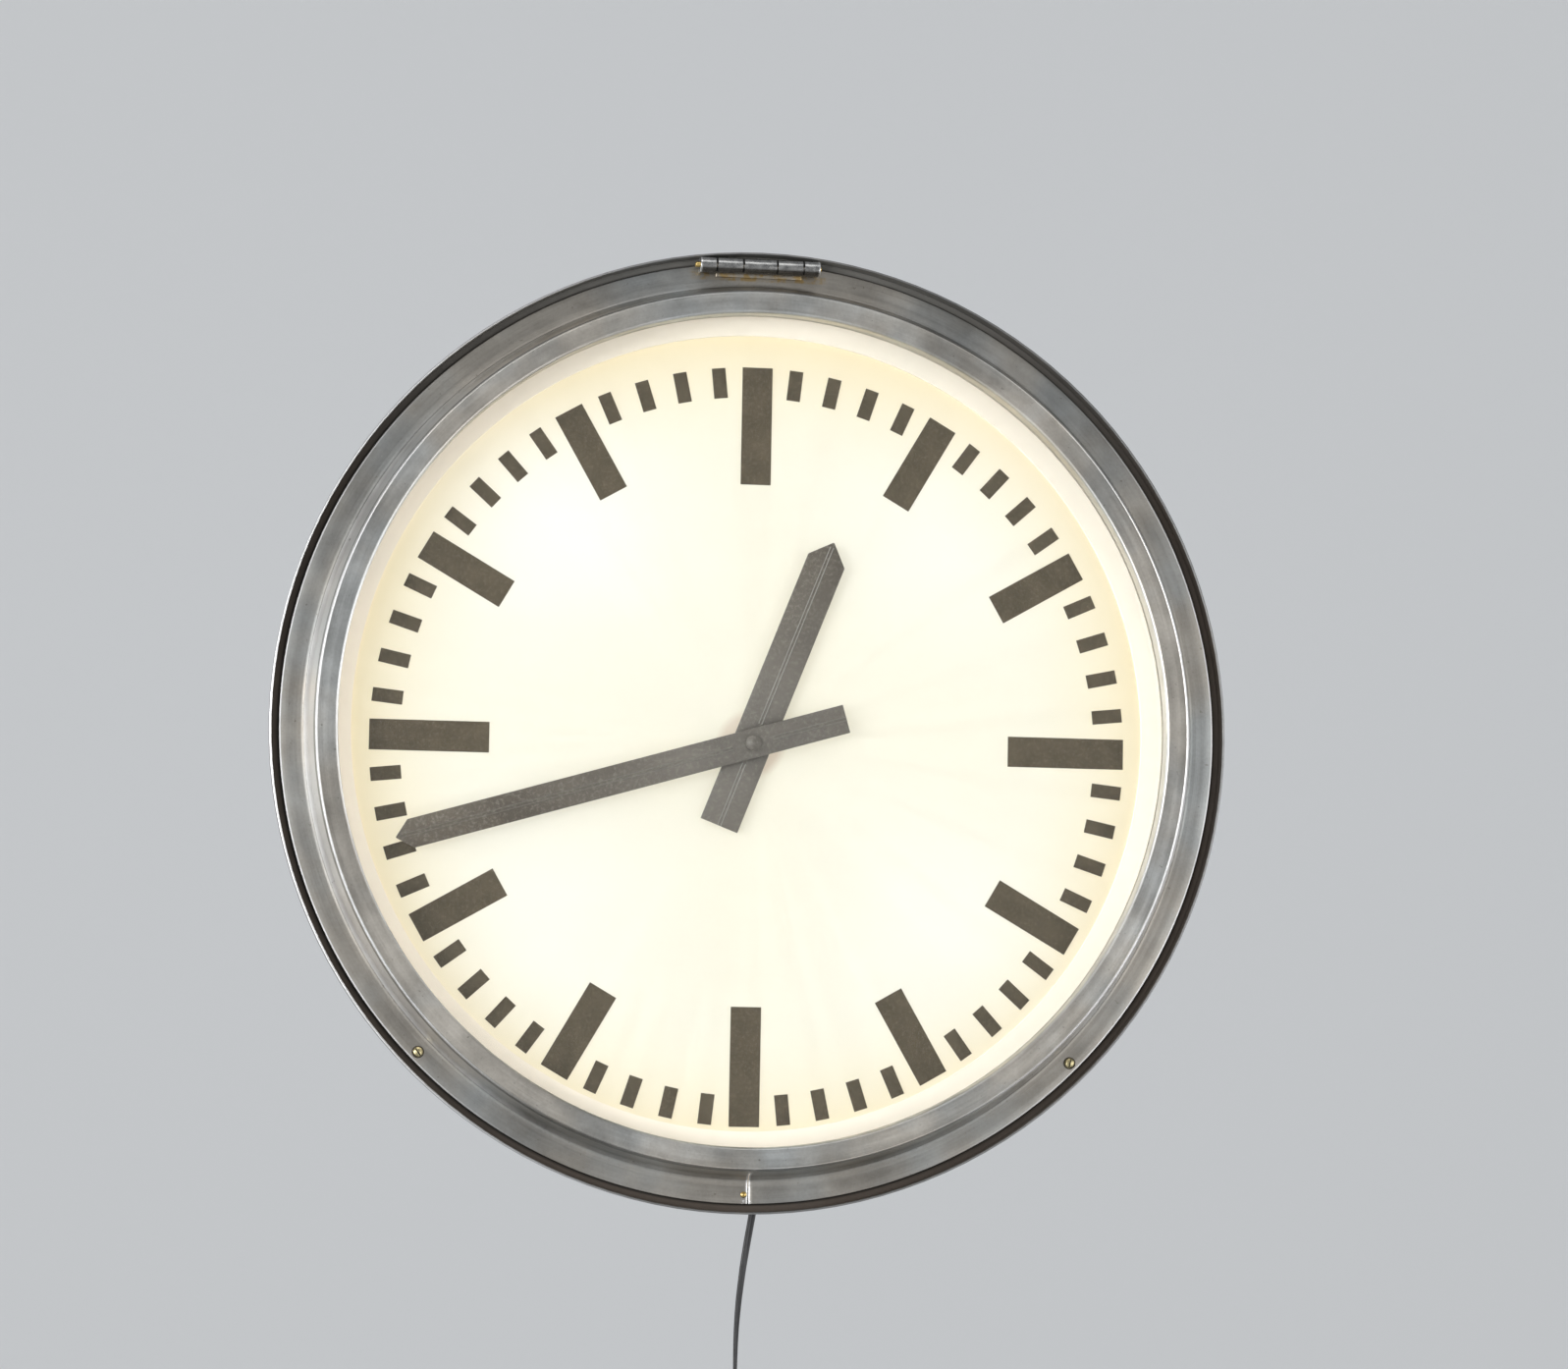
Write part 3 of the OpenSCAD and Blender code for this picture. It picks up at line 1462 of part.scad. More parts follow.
// Tail from the coil to the plug, tie round the coil, and the coil in one unbroken tube
module cord_coil() {
    color("black") face_on() skin(concat(
        [straight_ring(coil_cy + cord_w, outlet_z)],
        coil_rings,
        [straight_ring(tail_y, outlet_z + coil_layer), straight_ring(plug_top, outlet_z + coil_layer)]
    ));
}

// Tie round all the turns at the coil's left, with its head on the outside
module cord_tie() {
    inner = coil_radius(coil_half) - cord_t / 2 - tie_slack;
    outer = coil_radius(0.5) + cord_t / 2;
    back = outlet_z - cord_w / 2 - seat_gap;
    depth = coil_layer + cord_w + 2 * seat_gap;
    color("black") face_on() translate([coil_x, coil_cy, back]) {
        difference() {
            translate([-outer - tie_t, -tie_w / 2, -tie_t])
                cube([outer - inner + 2 * tie_t, tie_w, depth + 2 * tie_t]);
            translate([-outer, -tie_w, 0]) cube([outer - inner, 2 * tie_w, depth]);
        }
        translate([-outer - tie_t / 2 - tie_head[0], -tie_head[1] / 2, (depth - tie_head[2]) / 2])
            cube(tie_head);
    }
}

// Flat two-pin plug that hangs below the coil, with a ribbed strain relief
module plug() {
    x = coil_x + coil_out_r;
    body_top = plug_top - relief_l;
    color("black") face_on() translate([x, 0, plug_z]) {
        translate([0, body_top, 0]) rotate([90, 0, 0]) {
            hull() for (s = [-1, 1], y = [0, plug_l - 1])
                translate([s * (plug_w - plug_t) / 2, 0, y])
                    cylinder(r = plug_t / 2 - (y == 0 ? plug_taper : 0), h = 1, $fn = 24);
        }
        translate([0, plug_top, 0]) rotate([90, 0, 0]) {
            cylinder(r = relief_r, h = relief_l + 1, $fn = 32);
            for (i = [0 : relief_ribs - 1]) translate([0, 0, (i + 0.5) * relief_pitch])
                cylinder(r = relief_rib_r, h = relief_pitch / 2, $fn = 32);
        }
    }
    color("silver") face_on() translate([x, body_top - plug_l, plug_z])
        for (s = [-1, 1]) translate([s * plug_pin_apart / 2, 0.5, 0]) rotate([90, 0, 0]) {
            cylinder(r = plug_pin_r, h = plug_pin_l - 1, $fn = 32);
            cylinder(r = plug_pin_tip_r, h = plug_pin_l, $fn = 32);
        }
}

case_drum();
door_seal();
lock_brackets();
dial_brackets();
dial_spacers();
dial_ring();
dial_screws();
opal_dial();
dial_marks();
hinge_case_leaf();
hinge_pin();
cable_grommet();
inlet_lead();
terminal_block();
terminal_screws();
driver_box();
driver_cover();
base_nuts();
lamp_brackets();
lampholders();
holder_nuts();
bulb_globes();
bulb_caps();
lamp_wires();
coil_wires();
movement_rails();
rear_plate();
front_plate();
plate_pillars();
plate_nuts();
plate_bushes();
stator();
coil_bobbin();
coil_winding();
motion_bridge();
bridge_pillars();
door_ring();
hinge_door_leaf();
door_glass();
glass_seal();
glass_clips();
lock_screws();
ring_joint_plate();
joint_rivet();
minute_arbor();
centre_wheel();
cannon_pinion();
minute_hand();
minute_hub();
hand_nut();
hour_wheel();
hour_hub();
hour_hand();
motion_wheel();
third_wheel();
rotor();
cord();
cord_coil();
cord_tie();
plug();
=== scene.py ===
"""Station clock: finishes, detail pieces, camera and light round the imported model.

Pieces are drawn face on in millimetres, x to the right, y up and z out from the wall, and
FACE_ON then stands them in the shared frame in metres. The finishes read places in metres from
the shared frame, where z is up and y goes into the wall.
"""

import math

import bmesh
import bpy
from mathutils import Matrix, Vector


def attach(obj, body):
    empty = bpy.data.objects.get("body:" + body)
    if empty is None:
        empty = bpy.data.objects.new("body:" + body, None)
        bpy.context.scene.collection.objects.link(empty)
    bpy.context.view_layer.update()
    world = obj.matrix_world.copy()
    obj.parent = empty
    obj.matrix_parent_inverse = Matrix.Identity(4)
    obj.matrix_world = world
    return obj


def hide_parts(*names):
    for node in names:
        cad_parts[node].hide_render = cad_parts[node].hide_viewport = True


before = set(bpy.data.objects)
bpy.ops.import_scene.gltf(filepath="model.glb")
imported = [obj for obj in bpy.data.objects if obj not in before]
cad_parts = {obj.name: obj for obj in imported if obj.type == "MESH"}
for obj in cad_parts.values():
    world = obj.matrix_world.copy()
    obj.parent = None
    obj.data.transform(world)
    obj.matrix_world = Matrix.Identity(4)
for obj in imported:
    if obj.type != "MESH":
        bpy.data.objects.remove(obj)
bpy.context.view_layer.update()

MM = 0.001
FACE_ON = Matrix.Scale(MM, 4) @ Matrix.Rotation(math.radians(90), 4, "X")

# Sizes of the dial, the door ring and the case's lip, in millimetres

DIAL_Y = -9
LAMP_X, LAMP_Y = 130, 128
WINDOW_R, WINDOW_Z, RETURN_Z = 271.5, 151.5, 140
CREST_R, CREST_Z = 286, 152
COVE_R, FOOT_R, COVE_TOP_Z = 298, 295, 150.8
FLANGE_R, FLANGE_Z = 308.6, 126
LIP_R, LIP_Z = 315, 132
SHEET = 1.5
SEAM_X, SEAM_GAP = 2, 0.8

# Sizes of the hinge, whose knuckles share its length

HINGE_X, HINGE_Y, HINGE_Z, HINGE_L = -2, 305.4, 132.5, 80
BARREL_R, PIN_R, LEAF_T, KNUCKLE_GAP = 5, 1.8, 1.2, 0.35
SHARES = [0.14, 0.22, 0.28, 0.22, 0.14]
HINGE_LEFT = HINGE_X - HINGE_L / 2

# Sizes of the hands, and the time of day in hours that they show

CLOCK_TIME = 12.705
HOUR_TURN, MINUTE_TURN = -30 * CLOCK_TIME, -360 * CLOCK_TIME
HOUR_LOW, MINUTE_LOW, HAND_T = 120, 125.5, 1.5
RIB_H, RIB_HIGHLIGHT_FROM, RIB_HIGHLIGHT_TO = 0.5, 0.85, 1.3

# Camera, at the photograph's place

LENS_MM, SENSOR_MM = 96.5, 36
EYE = Vector((-0.3710, -2.8459, -0.2044))
AHEAD = Vector((0.1417, 0.9862, 0.0851)).normalized()
ROUGH_UP = Vector((-0.0297, -0.0817, 0.9962))


def place_camera():
    camera = bpy.data.objects.new("camera", bpy.data.cameras.new("camera"))
    camera.data.lens = LENS_MM
    camera.data.sensor_width = SENSOR_MM
    right = AHEAD.cross(ROUGH_UP).normalized()
    up = right.cross(AHEAD)
    turn = Matrix((right, up, -AHEAD)).transposed()
    camera.matrix_world = Matrix.Translation(EYE) @ turn.to_4x4()
    bpy.context.collection.objects.link(camera)
    bpy.context.scene.camera = camera


place_camera()

# Making and placing pieces


def finished(name, bm, material, body, replaces, sharp):
    """Turns a face-on bmesh into a piece that rides on a body; edges past an angle stay sharp."""
    bmesh.ops.remove_doubles(bm, verts=bm.verts, dist=1e-4)
    bmesh.ops.recalc_face_normals(bm, faces=bm.faces)
    bmesh.ops.transform(bm, matrix=FACE_ON, verts=bm.verts)
    mesh = bpy.data.meshes.new(name)
    bm.to_mesh(mesh)
    bm.free()
    mesh.polygons.foreach_set("use_smooth", [True] * len(mesh.polygons))
    mesh.set_sharp_from_angle(angle=math.radians(sharp))
    mesh.materials.append(material)
    piece = bpy.data.objects.new(name, mesh)
    bpy.context.collection.objects.link(piece)
    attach(piece, body)
    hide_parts(*replaces)
    return piece


def verts_in(geom):
    return [g for g in geom if isinstance(g, bmesh.types.BMVert)]


def edges_in(geom):
    return [g for g in geom if isinstance(g, bmesh.types.BMEdge)]


def edges_of(verts):
    return list({e for v in verts for e in v.link_edges})


def chain(bm, points):
    """Closed line of edges through points."""
    verts = [bm.verts.new(p) for p in points]
    return [bm.edges.new((verts[i - 1], verts[i])) for i in range(len(verts))]


def spin(bm, edges, degrees, steps, rise=0, merge=False):
    """Sweeps edges about z, and gives the edges of the last step back."""
    verts = list({v for e in edges for v in e.verts})
    return edges_in(bmesh.ops.spin(
        bm, geom=verts + edges, cent=(0, 0, 0), axis=(0, 0, 1), dvec=(0, 0, rise),
        angle=math.radians(degrees), steps=steps, use_merge=merge, use_duplicate=False,
    )["geom_last"])


def turned_part(bm, profile, steps, place=Matrix.Identity(4)):
    """Adds a closed body of revolution about z, from a closed line of (radius, height) points."""
    before = set(bm.verts)
    spin(bm, chain(bm, [(r, 0, z) for r, z in profile]), 360, steps, merge=True)
    bmesh.ops.transform(bm, matrix=place, verts=[v for v in bm.verts if v not in before])
    return bm


def along(axis, at):
    """Stands a turned part's own z on another axis, at a point."""
    turn = Vector((0, 0, 1)).rotation_difference(Vector(axis)).to_matrix().to_4x4()
    return Matrix.Translation(at) @ turn


def block(bm, low, high):
    """Adds a box between two corners."""
    size = [b - a for a, b in zip(low, high)]
    middle = [(a + b) / 2 for a, b in zip(low, high)]
    place = Matrix.Translation(middle) @ Matrix.Diagonal((*size, 1))
    return bmesh.ops.create_cube(bm, size=1, matrix=place)["verts"]


def soften(bm, edges, width, segments):
    bmesh.ops.bevel(
        bm, geom=edges, offset=width, affect="EDGES", segments=segments, profile=0.5, material=-1,
    )


def arc(centre, radius, start, stop, steps, high=None):
    """Points from one angle in degrees to another, on an ellipse if its height differs."""
    angles = [math.radians(start + (stop - start) * i / steps) for i in range(steps + 1)]
    high = high or radius
    return [(centre[0] + radius * math.cos(a), centre[1] + high * math.sin(a)) for a in angles]


def turned(bm, degrees):
    bmesh.ops.rotate(
        bm, verts=bm.verts, cent=(0, 0, 0), matrix=Matrix.Rotation(math.radians(degrees), 3, "Z"),
    )


def knuckle_ends(i):
    """Where a knuckle starts and ends along the hinge."""
    start = HINGE_LEFT + HINGE_L * sum(SHARES[:i]) + KNUCKLE_GAP / 2
    return start, start + HINGE_L * SHARES[i] - KNUCKLE_GAP


# Nodes of the finishes

UNSCALED = 1000


class Finish:
    """A material, with short ways to wire the nodes behind its shader."""

    def __init__(self, name, **sockets):
        self.material = bpy.data.materials.new(name)
        self.material.use_nodes = True
        self.tree = self.material.node_tree
        self.shader = self.tree.nodes["Principled BSDF"]
        self.place = self.add("ShaderNodeTexCoord").outputs["Object"]
        for socket, value in sockets.items():
            self.set(socket.replace("_", " "), value)

    def set(self, socket, value):
        self.feed(self.shader.inputs[socket], value)

    def feed(self, target, value):
        if isinstance(value, bpy.types.NodeSocket):
            self.tree.links.new(value, target)
        elif target.type == "RGBA":
            target.default_value = (*value, 1)
        else:
            target.default_value = value

    def add(self, kind, **inputs):
        node = self.tree.nodes.new(kind)
        for name, value in inputs.items():
            self.feed(node.inputs[name.replace("_", " ")], value)
        return node

    def maths(self, operation, *values):
        node = self.tree.nodes.new("ShaderNodeMath")
        node.operation = operation
        for target, value in zip(node.inputs, values):
            self.feed(target, value)
        return node.outputs[0]

    def plus(self, a, b):
        return self.maths("ADD", a, b)

    def times(self, a, b):
        return self.maths("MULTIPLY", a, b)

    def times_plus(self, a, b, c):
        return self.maths("MULTIPLY_ADD", a, b, c)

    def held(self, value):
        """A value held between 0 and 1."""
        node = self.add("ShaderNodeClamp", Value=value)
        return node.outputs[0]

    def reach(self, x, z):
        """Distance from the axis."""
        return self.maths("SQRT", self.plus(self.times(x, x), self.times(z, z)))

    def scaled(self, vector, by):
        node = self.tree.nodes.new("ShaderNodeVectorMath")
        node.operation = "MULTIPLY"
        self.feed(node.inputs[0], vector)
        self.feed(node.inputs[1], by)
        return node.outputs[0]

    def noise(self, size_mm, detail, rough=0.55, vector=None):
        """Noise of a size in millimetres, or of 1 in a vector's own units when UNSCALED."""
        node = self.add(
            "ShaderNodeTexNoise", Vector=vector or self.place, Scale=1000 / size_mm,
            Detail=detail, Roughness=rough,
        )
        return node.outputs["Fac"]

    def ramp(self, value, *stops):
        node = self.tree.nodes.new("ShaderNodeValToRGB")
        self.feed(node.inputs[0], value)
        marks = node.color_ramp.elements
        while len(marks) < len(stops):
            marks.new(0.5)
        for mark, (place, colour) in zip(marks, stops):
            mark.position = place
            mark.color = (*colour, 1)
        return node.outputs["Color"]

    def levels(self, value, low, high, to_low=0.0, to_high=1.0):
        """Carries one range over to another, and holds the value inside it."""
        node = self.add(
            "ShaderNodeMapRange", Value=value, From_Min=low, From_Max=high, To_Min=to_low, To_Max=to_high,
        )
        return node.outputs["Result"]

    def spread(self, noise, low, high):
        """Spreads a noise, which keeps mostly to its middle, over a range."""
        return self.levels(noise, 0.3, 0.7, low, high)

    def band(self, value, low, high, soft):
        """1 where a length lies between two others in millimetres, with soft ends."""
        rise = self.levels(value, (low - soft) * MM, low * MM)
        fall = self.levels(value, high * MM, (high + soft) * MM, 1, 0)
        return self.times(rise, fall)

    def blend(self, share, a, b, kind="MIX"):
        node = self.tree.nodes.new("ShaderNodeMix")
        node.data_type = "RGBA"
        node.blend_type = kind
        inputs = {socket.identifier: socket for socket in node.inputs}
        self.feed(inputs["Factor_Float"], share)
        self.feed(inputs["A_Color"], a)
        self.feed(inputs["B_Color"], b)
        return next(socket for socket in node.outputs if socket.identifier == "Result_Color")

    def shaded(self, colour, by):
        """A colour made darker or paler by a factor."""
        return self.blend(1.0, colour, self.joined(by, by, by), "MULTIPLY")

    def bump(self, height, depth_mm, strength):
        node = self.add("ShaderNodeBump", Height=height, Strength=strength, Distance=depth_mm * MM)
        before = self.shader.inputs["Normal"].links
        if before:
            self.tree.links.new(before[0].from_socket, node.inputs["Normal"])
        self.tree.links.new(node.outputs[0], self.shader.inputs["Normal"])

    def split(self):
        node = self.add("ShaderNodeSeparateXYZ", Vector=self.place)
        return node.outputs

    def joined(self, x, y, z):
        node = self.add("ShaderNodeCombineXYZ", X=x, Y=y, Z=z)
        return node.outputs[0]

    def round_place(self, around, across):
        """Coordinates that follow circles about the clock's axis, for marks left by turning."""
        x, y, z = self.split()
        radius = self.reach(x, z)
        return self.joined(
            self.times(self.maths("DIVIDE", x, radius), around),
            self.times(self.maths("DIVIDE", z, radius), around),
            self.times(self.plus(radius, y), across),
        )

    def mix_shaders(self, share, other):
        """Puts a share of another shader over this one at the output."""
        mix = self.add("ShaderNodeMixShader", Fac=share)
        self.feed(mix.inputs[1], self.shader.outputs[0])
        self.feed(mix.inputs[2], other.outputs[0])
        self.feed(self.tree.nodes["Material Output"].inputs["Surface"], mix.outputs[0])


def grey(value, warm=0.0):
    return (value * (1 + warm), value, value * (1 - warm))


# Spun steel of the case and the door


def steel_colour(f, dark, pale, lines, cloud, grain):
    """Grey from lines, clouds and grain, tinted warm and cool in large patches, with blotches."""
    wide = f.noise(UNSCALED, 2, 0.5, f.round_place(2.5, 420))
    mixed = f.plus(f.times(lines, 0.22), f.times(wide, 0.18))
    mixed = f.plus(mixed, f.plus(f.times(cloud, 0.35), f.times(grain, 0.25)))
    low, middle, high = grey(dark, 0.03), grey((dark + pale) / 2, 0.02), grey(pale, 0.01)
    colour = f.ramp(mixed, (0.36, low), (0.5, middle), (0.64, high))
    cool, warm = (0.95, 0.995, 1.0), (1.0, 0.955, 0.87)
    tint = f.ramp(f.noise(95, 3), (0.36, cool), (0.56, warm))
    colour = f.blend(1.0, colour, tint, "MULTIPLY")
    return f.shaded(colour, f.levels(f.noise(60, 3, 0.6), 0.35, 0.68, 1.12, 0.84))


def painted_ring_light(f, colour, x, radius, light_zones):
    """Paints light and shade into rings of the sheet, more or less at both sides than at the middle.

    A zone has two radii, its painted gain at the middle, its painted gain at the sides and what it adds
    to the roughness. Where the sides gain more than 1 they also go pale, as a painted highlight.
    """
    side = f.levels(f.maths("ABSOLUTE", x), 0.13, 0.25)
    rougher, painted_pale_sides = 0.0, 0.0
    for r_low, r_high, middle_gain, side_gain, more_rough in light_zones:
        zone = f.band(radius, r_low, r_high, 0.4)
        painted_gain = f.times_plus(zone, f.levels(side, 0, 1, middle_gain, side_gain), 1.0)
        colour = f.shaded(colour, painted_gain)
        rougher = f.times_plus(zone, more_rough, rougher)
        if side_gain > 1:
            painted_pale_sides = f.times_plus(zone, side, painted_pale_sides)
    # Pale sides of the brighter rings: a painted highlight
    return f.blend(f.times(painted_pale_sides, 0.8), colour, grey(0.88, 0.005)), rougher


def pitted(f, colour, dark):
    """Dark pin spots and small pale nicks."""
    pits = f.levels(f.noise(2.6, 2, 0.5), 0.70, 0.78)
    colour = f.blend(f.times(pits, 0.5), colour, grey(dark * 0.35, 0.2))
    nicks = f.levels(f.noise(1.5, 2, 0.5, f.scaled(f.place, (1, 1, 0.6))), 0.76, 0.8)
    return f.blend(f.times(nicks, 0.5), colour, grey(0.85))


def on_edges(f, radius, depth, edges):
    """1 on the edges, each given as its radii and its heights."""
    found = 0.0
    for r_low, r_high, z_low, z_high in edges:
        edge = f.times(f.band(radius, r_low, r_high, 0.25), f.band(depth, z_low, z_high, 0.25))
        found = f.maths("MAXIMUM", found, edge)
    return found


def edge_sheen_and_joint_marks(f, edge_sheen_and_flecks, x, z):
    """Keeps the painted edge highlight to both sides, and adds a pale line along the joint and pale flecks at
    its foot.
    """
    upper = f.maths("MAXIMUM", z, 0)
    edge_sheen_and_flecks = f.times(edge_sheen_and_flecks, f.levels(f.times_plus(upper, -0.3, f.maths("ABSOLUTE", x)), 0.13, 0.25))
    seam = f.band(x, SEAM_X - 1.2, SEAM_X + 1.2, 0.25)
    below = f.levels(z, -(CREST_R + 0.5) * MM, -(CREST_R + 2.5) * MM)
    torn = f.levels(f.noise(3, 3, 0.6), 0.4, 0.6, 0.7, 1.0)
    edge_sheen_and_flecks = f.maths("MAXIMUM", edge_sheen_and_flecks, f.times(f.times(seam, below), torn))
    flecks = f.levels(f.noise(1.8, 2, 0.5), 0.52, 0.6)
    flecks = f.times(flecks, f.band(x, SEAM_X - 4, SEAM_X + 3, 0.8))
    foot = f.levels(z, -(FLANGE_R - 4.1) * MM, -(FLANGE_R - 2.1) * MM)
    return f.maths("MAXIMUM", edge_sheen_and_flecks, f.times(flecks, foot))


def oil_drips(f, colour, x, z):
    """Brown drips on the door below the hinge."""
    half = HINGE_L / 2
    row = f.times(f.band(z, 297.2, 301, 1.0), f.band(x, HINGE_X - half - 4, HINGE_X + half + 4, 2))
    drips = f.levels(f.noise(7, 3, 0.6), 0.46, 0.58, 0.15, 0.75)
    return f.blend(f.times(row, drips), colour, (0.36, 0.23, 0.06))


def gap_grime_and_shade(f, colour, rough, radius, depth, z):
    """Grime and painted shade in the gap between flange and lip: darkest next to the flange, as a painted
    contact shadow, and palest at the top.
    """
    gap = f.times(
        f.band(radius, FLANGE_R - 1.6, LIP_R - 1.3, 0.2), f.band(depth, FLANGE_Z - 5, LIP_Z - 0.2, 0.4),
    )
    grime_and_shade = f.blend(f.levels(z, 0.15, 0.3), (0.15, 0.125, 0.105), (0.24, 0.235, 0.22))
    # Painted contact shadow, near black next to the flange
    outward = f.levels(radius, (FLANGE_R + 0.4) * MM, (FLANGE_R + 1.9) * MM)
    grime_and_shade = f.blend(outward, (0.035, 0.031, 0.028), grime_and_shade)
    return f.blend(f.times(gap, 0.94), colour, grime_and_shade), f.times_plus(gap, 0.4, rough)


def spun_steel(name, dark, pale, shine, edges, sheen_tones, light_zones=None):
    """Spun and hand-polished sheet: fine lines along the circle, faint clouds and dark pin spots.

    Its edges get a painted highlight, in one tone at the left and another from the middle on. The
    door's sheet has rings of painted light and shade, the case's has grime and painted shade in its gap.
    """
    f = Finish(name, Metallic=1.0)
    x, y, z = f.split()
    radius = f.reach(x, z)
    depth = f.times(y, -1)
    lines = f.noise(UNSCALED, 3, 0.6, f.round_place(5, 2200))
    cloud = f.noise(34, 5, 0.62)
    grain = f.noise(2.0, 3, 0.6)
    colour = steel_colour(f, dark, pale, lines, cloud, grain)
    rough = f.plus(f.spread(cloud, shine - 0.04, shine + 0.08), f.spread(lines, -0.03, 0.04))
    # Painted highlight along the sheet's edges
    edge_sheen_and_flecks = on_edges(f, radius, depth, edges)
    if light_zones:
        colour, rougher = painted_ring_light(f, colour, x, radius, light_zones)
        rough = f.plus(rough, rougher)
        edge_sheen_and_flecks = edge_sheen_and_joint_marks(f, edge_sheen_and_flecks, x, z)
    colour = pitted(f, colour, dark)
    edge_sheen_and_flecks = f.times(edge_sheen_and_flecks, f.levels(f.noise(9, 3), 0.25, 0.6, 0.7, 1.0))
    # Painted highlight tone: one at the left, another from the middle on
    sheen_tone = f.levels(x, -0.27, -0.06, *sheen_tones)
    colour = f.blend(edge_sheen_and_flecks, colour, f.joined(sheen_tone, sheen_tone, sheen_tone))
    rough = f.times_plus(edge_sheen_and_flecks, 0.06, rough)
    if light_zones:
        colour = oil_drips(f, colour, x, z)
    else:
        colour, rough = gap_grime_and_shade(f, colour, rough, radius, depth, z)
    f.set("Base Color", colour)
    f.set("Roughness", rough)
    f.bump(lines, 0.012, 0.3)
    f.bump(cloud, 0.2, 0.15)
    f.bump(grain, 0.02, 0.25)
    return f.material


# Plain metals and coats, and the hinge


def mottled(f, fine, broad, dark, pale):
    """A colour between two (place, colour) stops, from an even mix of two noises."""
    return f.ramp(f.plus(f.times(fine, 0.5), f.times(broad, 0.5)), dark, pale)


def plain_metal(name, colour, roughness, spot, wear, bump):
    """Cast, turned or plated metal with fine scratches and a little tarnish."""
    f = Finish(name, Metallic=1.0)
    fine = f.noise(spot, 5, 0.6)
    broad = f.noise(spot * 9, 3, 0.5)
    dark = tuple(c * (1 - wear) for c in colour)
    f.set("Base Color", mottled(f, fine, broad, (0.35, dark), (0.62, colour)))
    f.set("Roughness", f.spread(fine, roughness - 0.07, roughness + 0.1))
    f.bump(fine, bump, 0.5)
    return f.material


def plain_coat(name, colour, roughness, spot, change, bump):
    """Paint, plastic, rubber or glaze with slight unevenness."""
    f = Finish(name)
    fine = f.noise(spot, 4, 0.6)
    broad = f.noise(spot * 14, 2, 0.5)
    dark = tuple(c * (1 - change) for c in colour)
    f.set("Base Color", mottled(f, fine, broad, (0.35, dark), (0.65, colour)))
    f.set("Roughness", f.spread(broad, roughness - 0.05, roughness + 0.07))
    f.bump(fine, bump, 0.5)
    return f.material


def hinge_with_painted_light(name):
    """Rolled steel, with painted shade below, dark lines where the knuckles meet, and painted highlights at
    both ends.
    """
    f = Finish(name, Metallic=1.0)
    x, _, z = f.split()
    fine = f.noise(4, 5, 0.6)
    colour = f.ramp(fine, (0.35, (0.30, 0.30, 0.30)), (0.62, (0.46, 0.46, 0.45)))
    # Painted shade on the barrel's lower side
    painted_shade_below = f.levels(z, (HINGE_Y - 0.2) * MM, (HINGE_Y - 2.6) * MM, 0.0, 0.8)
    colour = f.blend(painted_shade_below, colour, (0.075, 0.066, 0.056))
    for i in range(len(SHARES)):
        for end in knuckle_ends(i):
            colour = f.blend(f.band(x, end - 0.35, end + 0.35, 0.3), colour, (0.09, 0.088, 0.085))
    # Painted highlights at both ends of the barrel
    off_middle = f.maths("ABSOLUTE", f.maths("SUBTRACT", x, HINGE_X * MM))
    painted_end_highlights = f.levels(off_middle, (HINGE_L / 2 - 1.6) * MM, (HINGE_L / 2 - 0.9) * MM)
    colour = f.blend(f.times(painted_end_highlights, 0.9), colour, grey(0.75))
    f.set("Base Color", colour)
    f.set("Roughness", f.spread(fine, 0.22, 0.34))
    f.bump(fine, 0.01, 0.5)
    return f.material


# Dial, its ring and the glass

WARM_WHITE = (0.90, 0.845, 0.67)
WARM_EDGE = (0.96, 0.80, 0.46)
HOT = (1.0, 1.0, 0.95)
LAMPS = ((-LAMP_X, LAMP_Y, 1.0), (LAMP_X, LAMP_Y, 0.6), (-LAMP_X, -LAMP_Y, 0.62), (LAMP_X, -LAMP_Y, 0.66))
LAMP_SPREAD = 75
DIAL_GLOW, RING_GLOW = 0.68, 0.36


def lit_opal(name):
    """Opal sheet lit by four lamps behind it, their light painted into its emission as hot spots and warmer
    edges, with a painted shadow of the boss at its centre.
    """
    f = Finish(name, IOR=1.45)
    x, _, z = f.split()
    # Painted pools of light over the four lamps
    glow = 0.0
    for lamp_x, lamp_y, strength in LAMPS:
        dx = f.maths("SUBTRACT", x, lamp_x * MM)
        dz = f.maths("SUBTRACT", z, lamp_y * MM)
        square = f.plus(f.times(dx, dx), f.times(dz, dz))
        spot = f.maths("POWER", math.e, f.times(square, -1 / (LAMP_SPREAD * MM) ** 2))
        glow = f.times_plus(spot, strength, glow)
    radius = f.reach(x, f.maths("SUBTRACT", z, DIAL_Y * MM))
    edge = f.maths("POWER", f.levels(radius, 0.185, 0.272), 1.6)
    cloud = f.spread(f.noise(90, 2, 0.4), 0.0, 0.12)
    colour = f.blend(f.held(f.plus(edge, cloud)), WARM_WHITE, WARM_EDGE)
    colour = f.blend(f.held(f.times(glow, 0.8)), colour, HOT)
    # Painted shadow of the boss behind the sheet
    colour = f.blend(f.levels(radius, 0.0182, 0.0238), (0.70, 0.56, 0.41), colour)
    f.set("Emission Color", colour)
    f.shader.inputs["Emission Strength"].default_value = DIAL_GLOW
    f.set("Base Color", f.blend(edge, (0.30, 0.29, 0.265), (0.31, 0.28, 0.23)))
    f.set("Roughness", f.spread(f.noise(12, 3), 0.3, 0.4))
    f.bump(f.noise(16, 2), 0.02, 0.2)
    return f.material


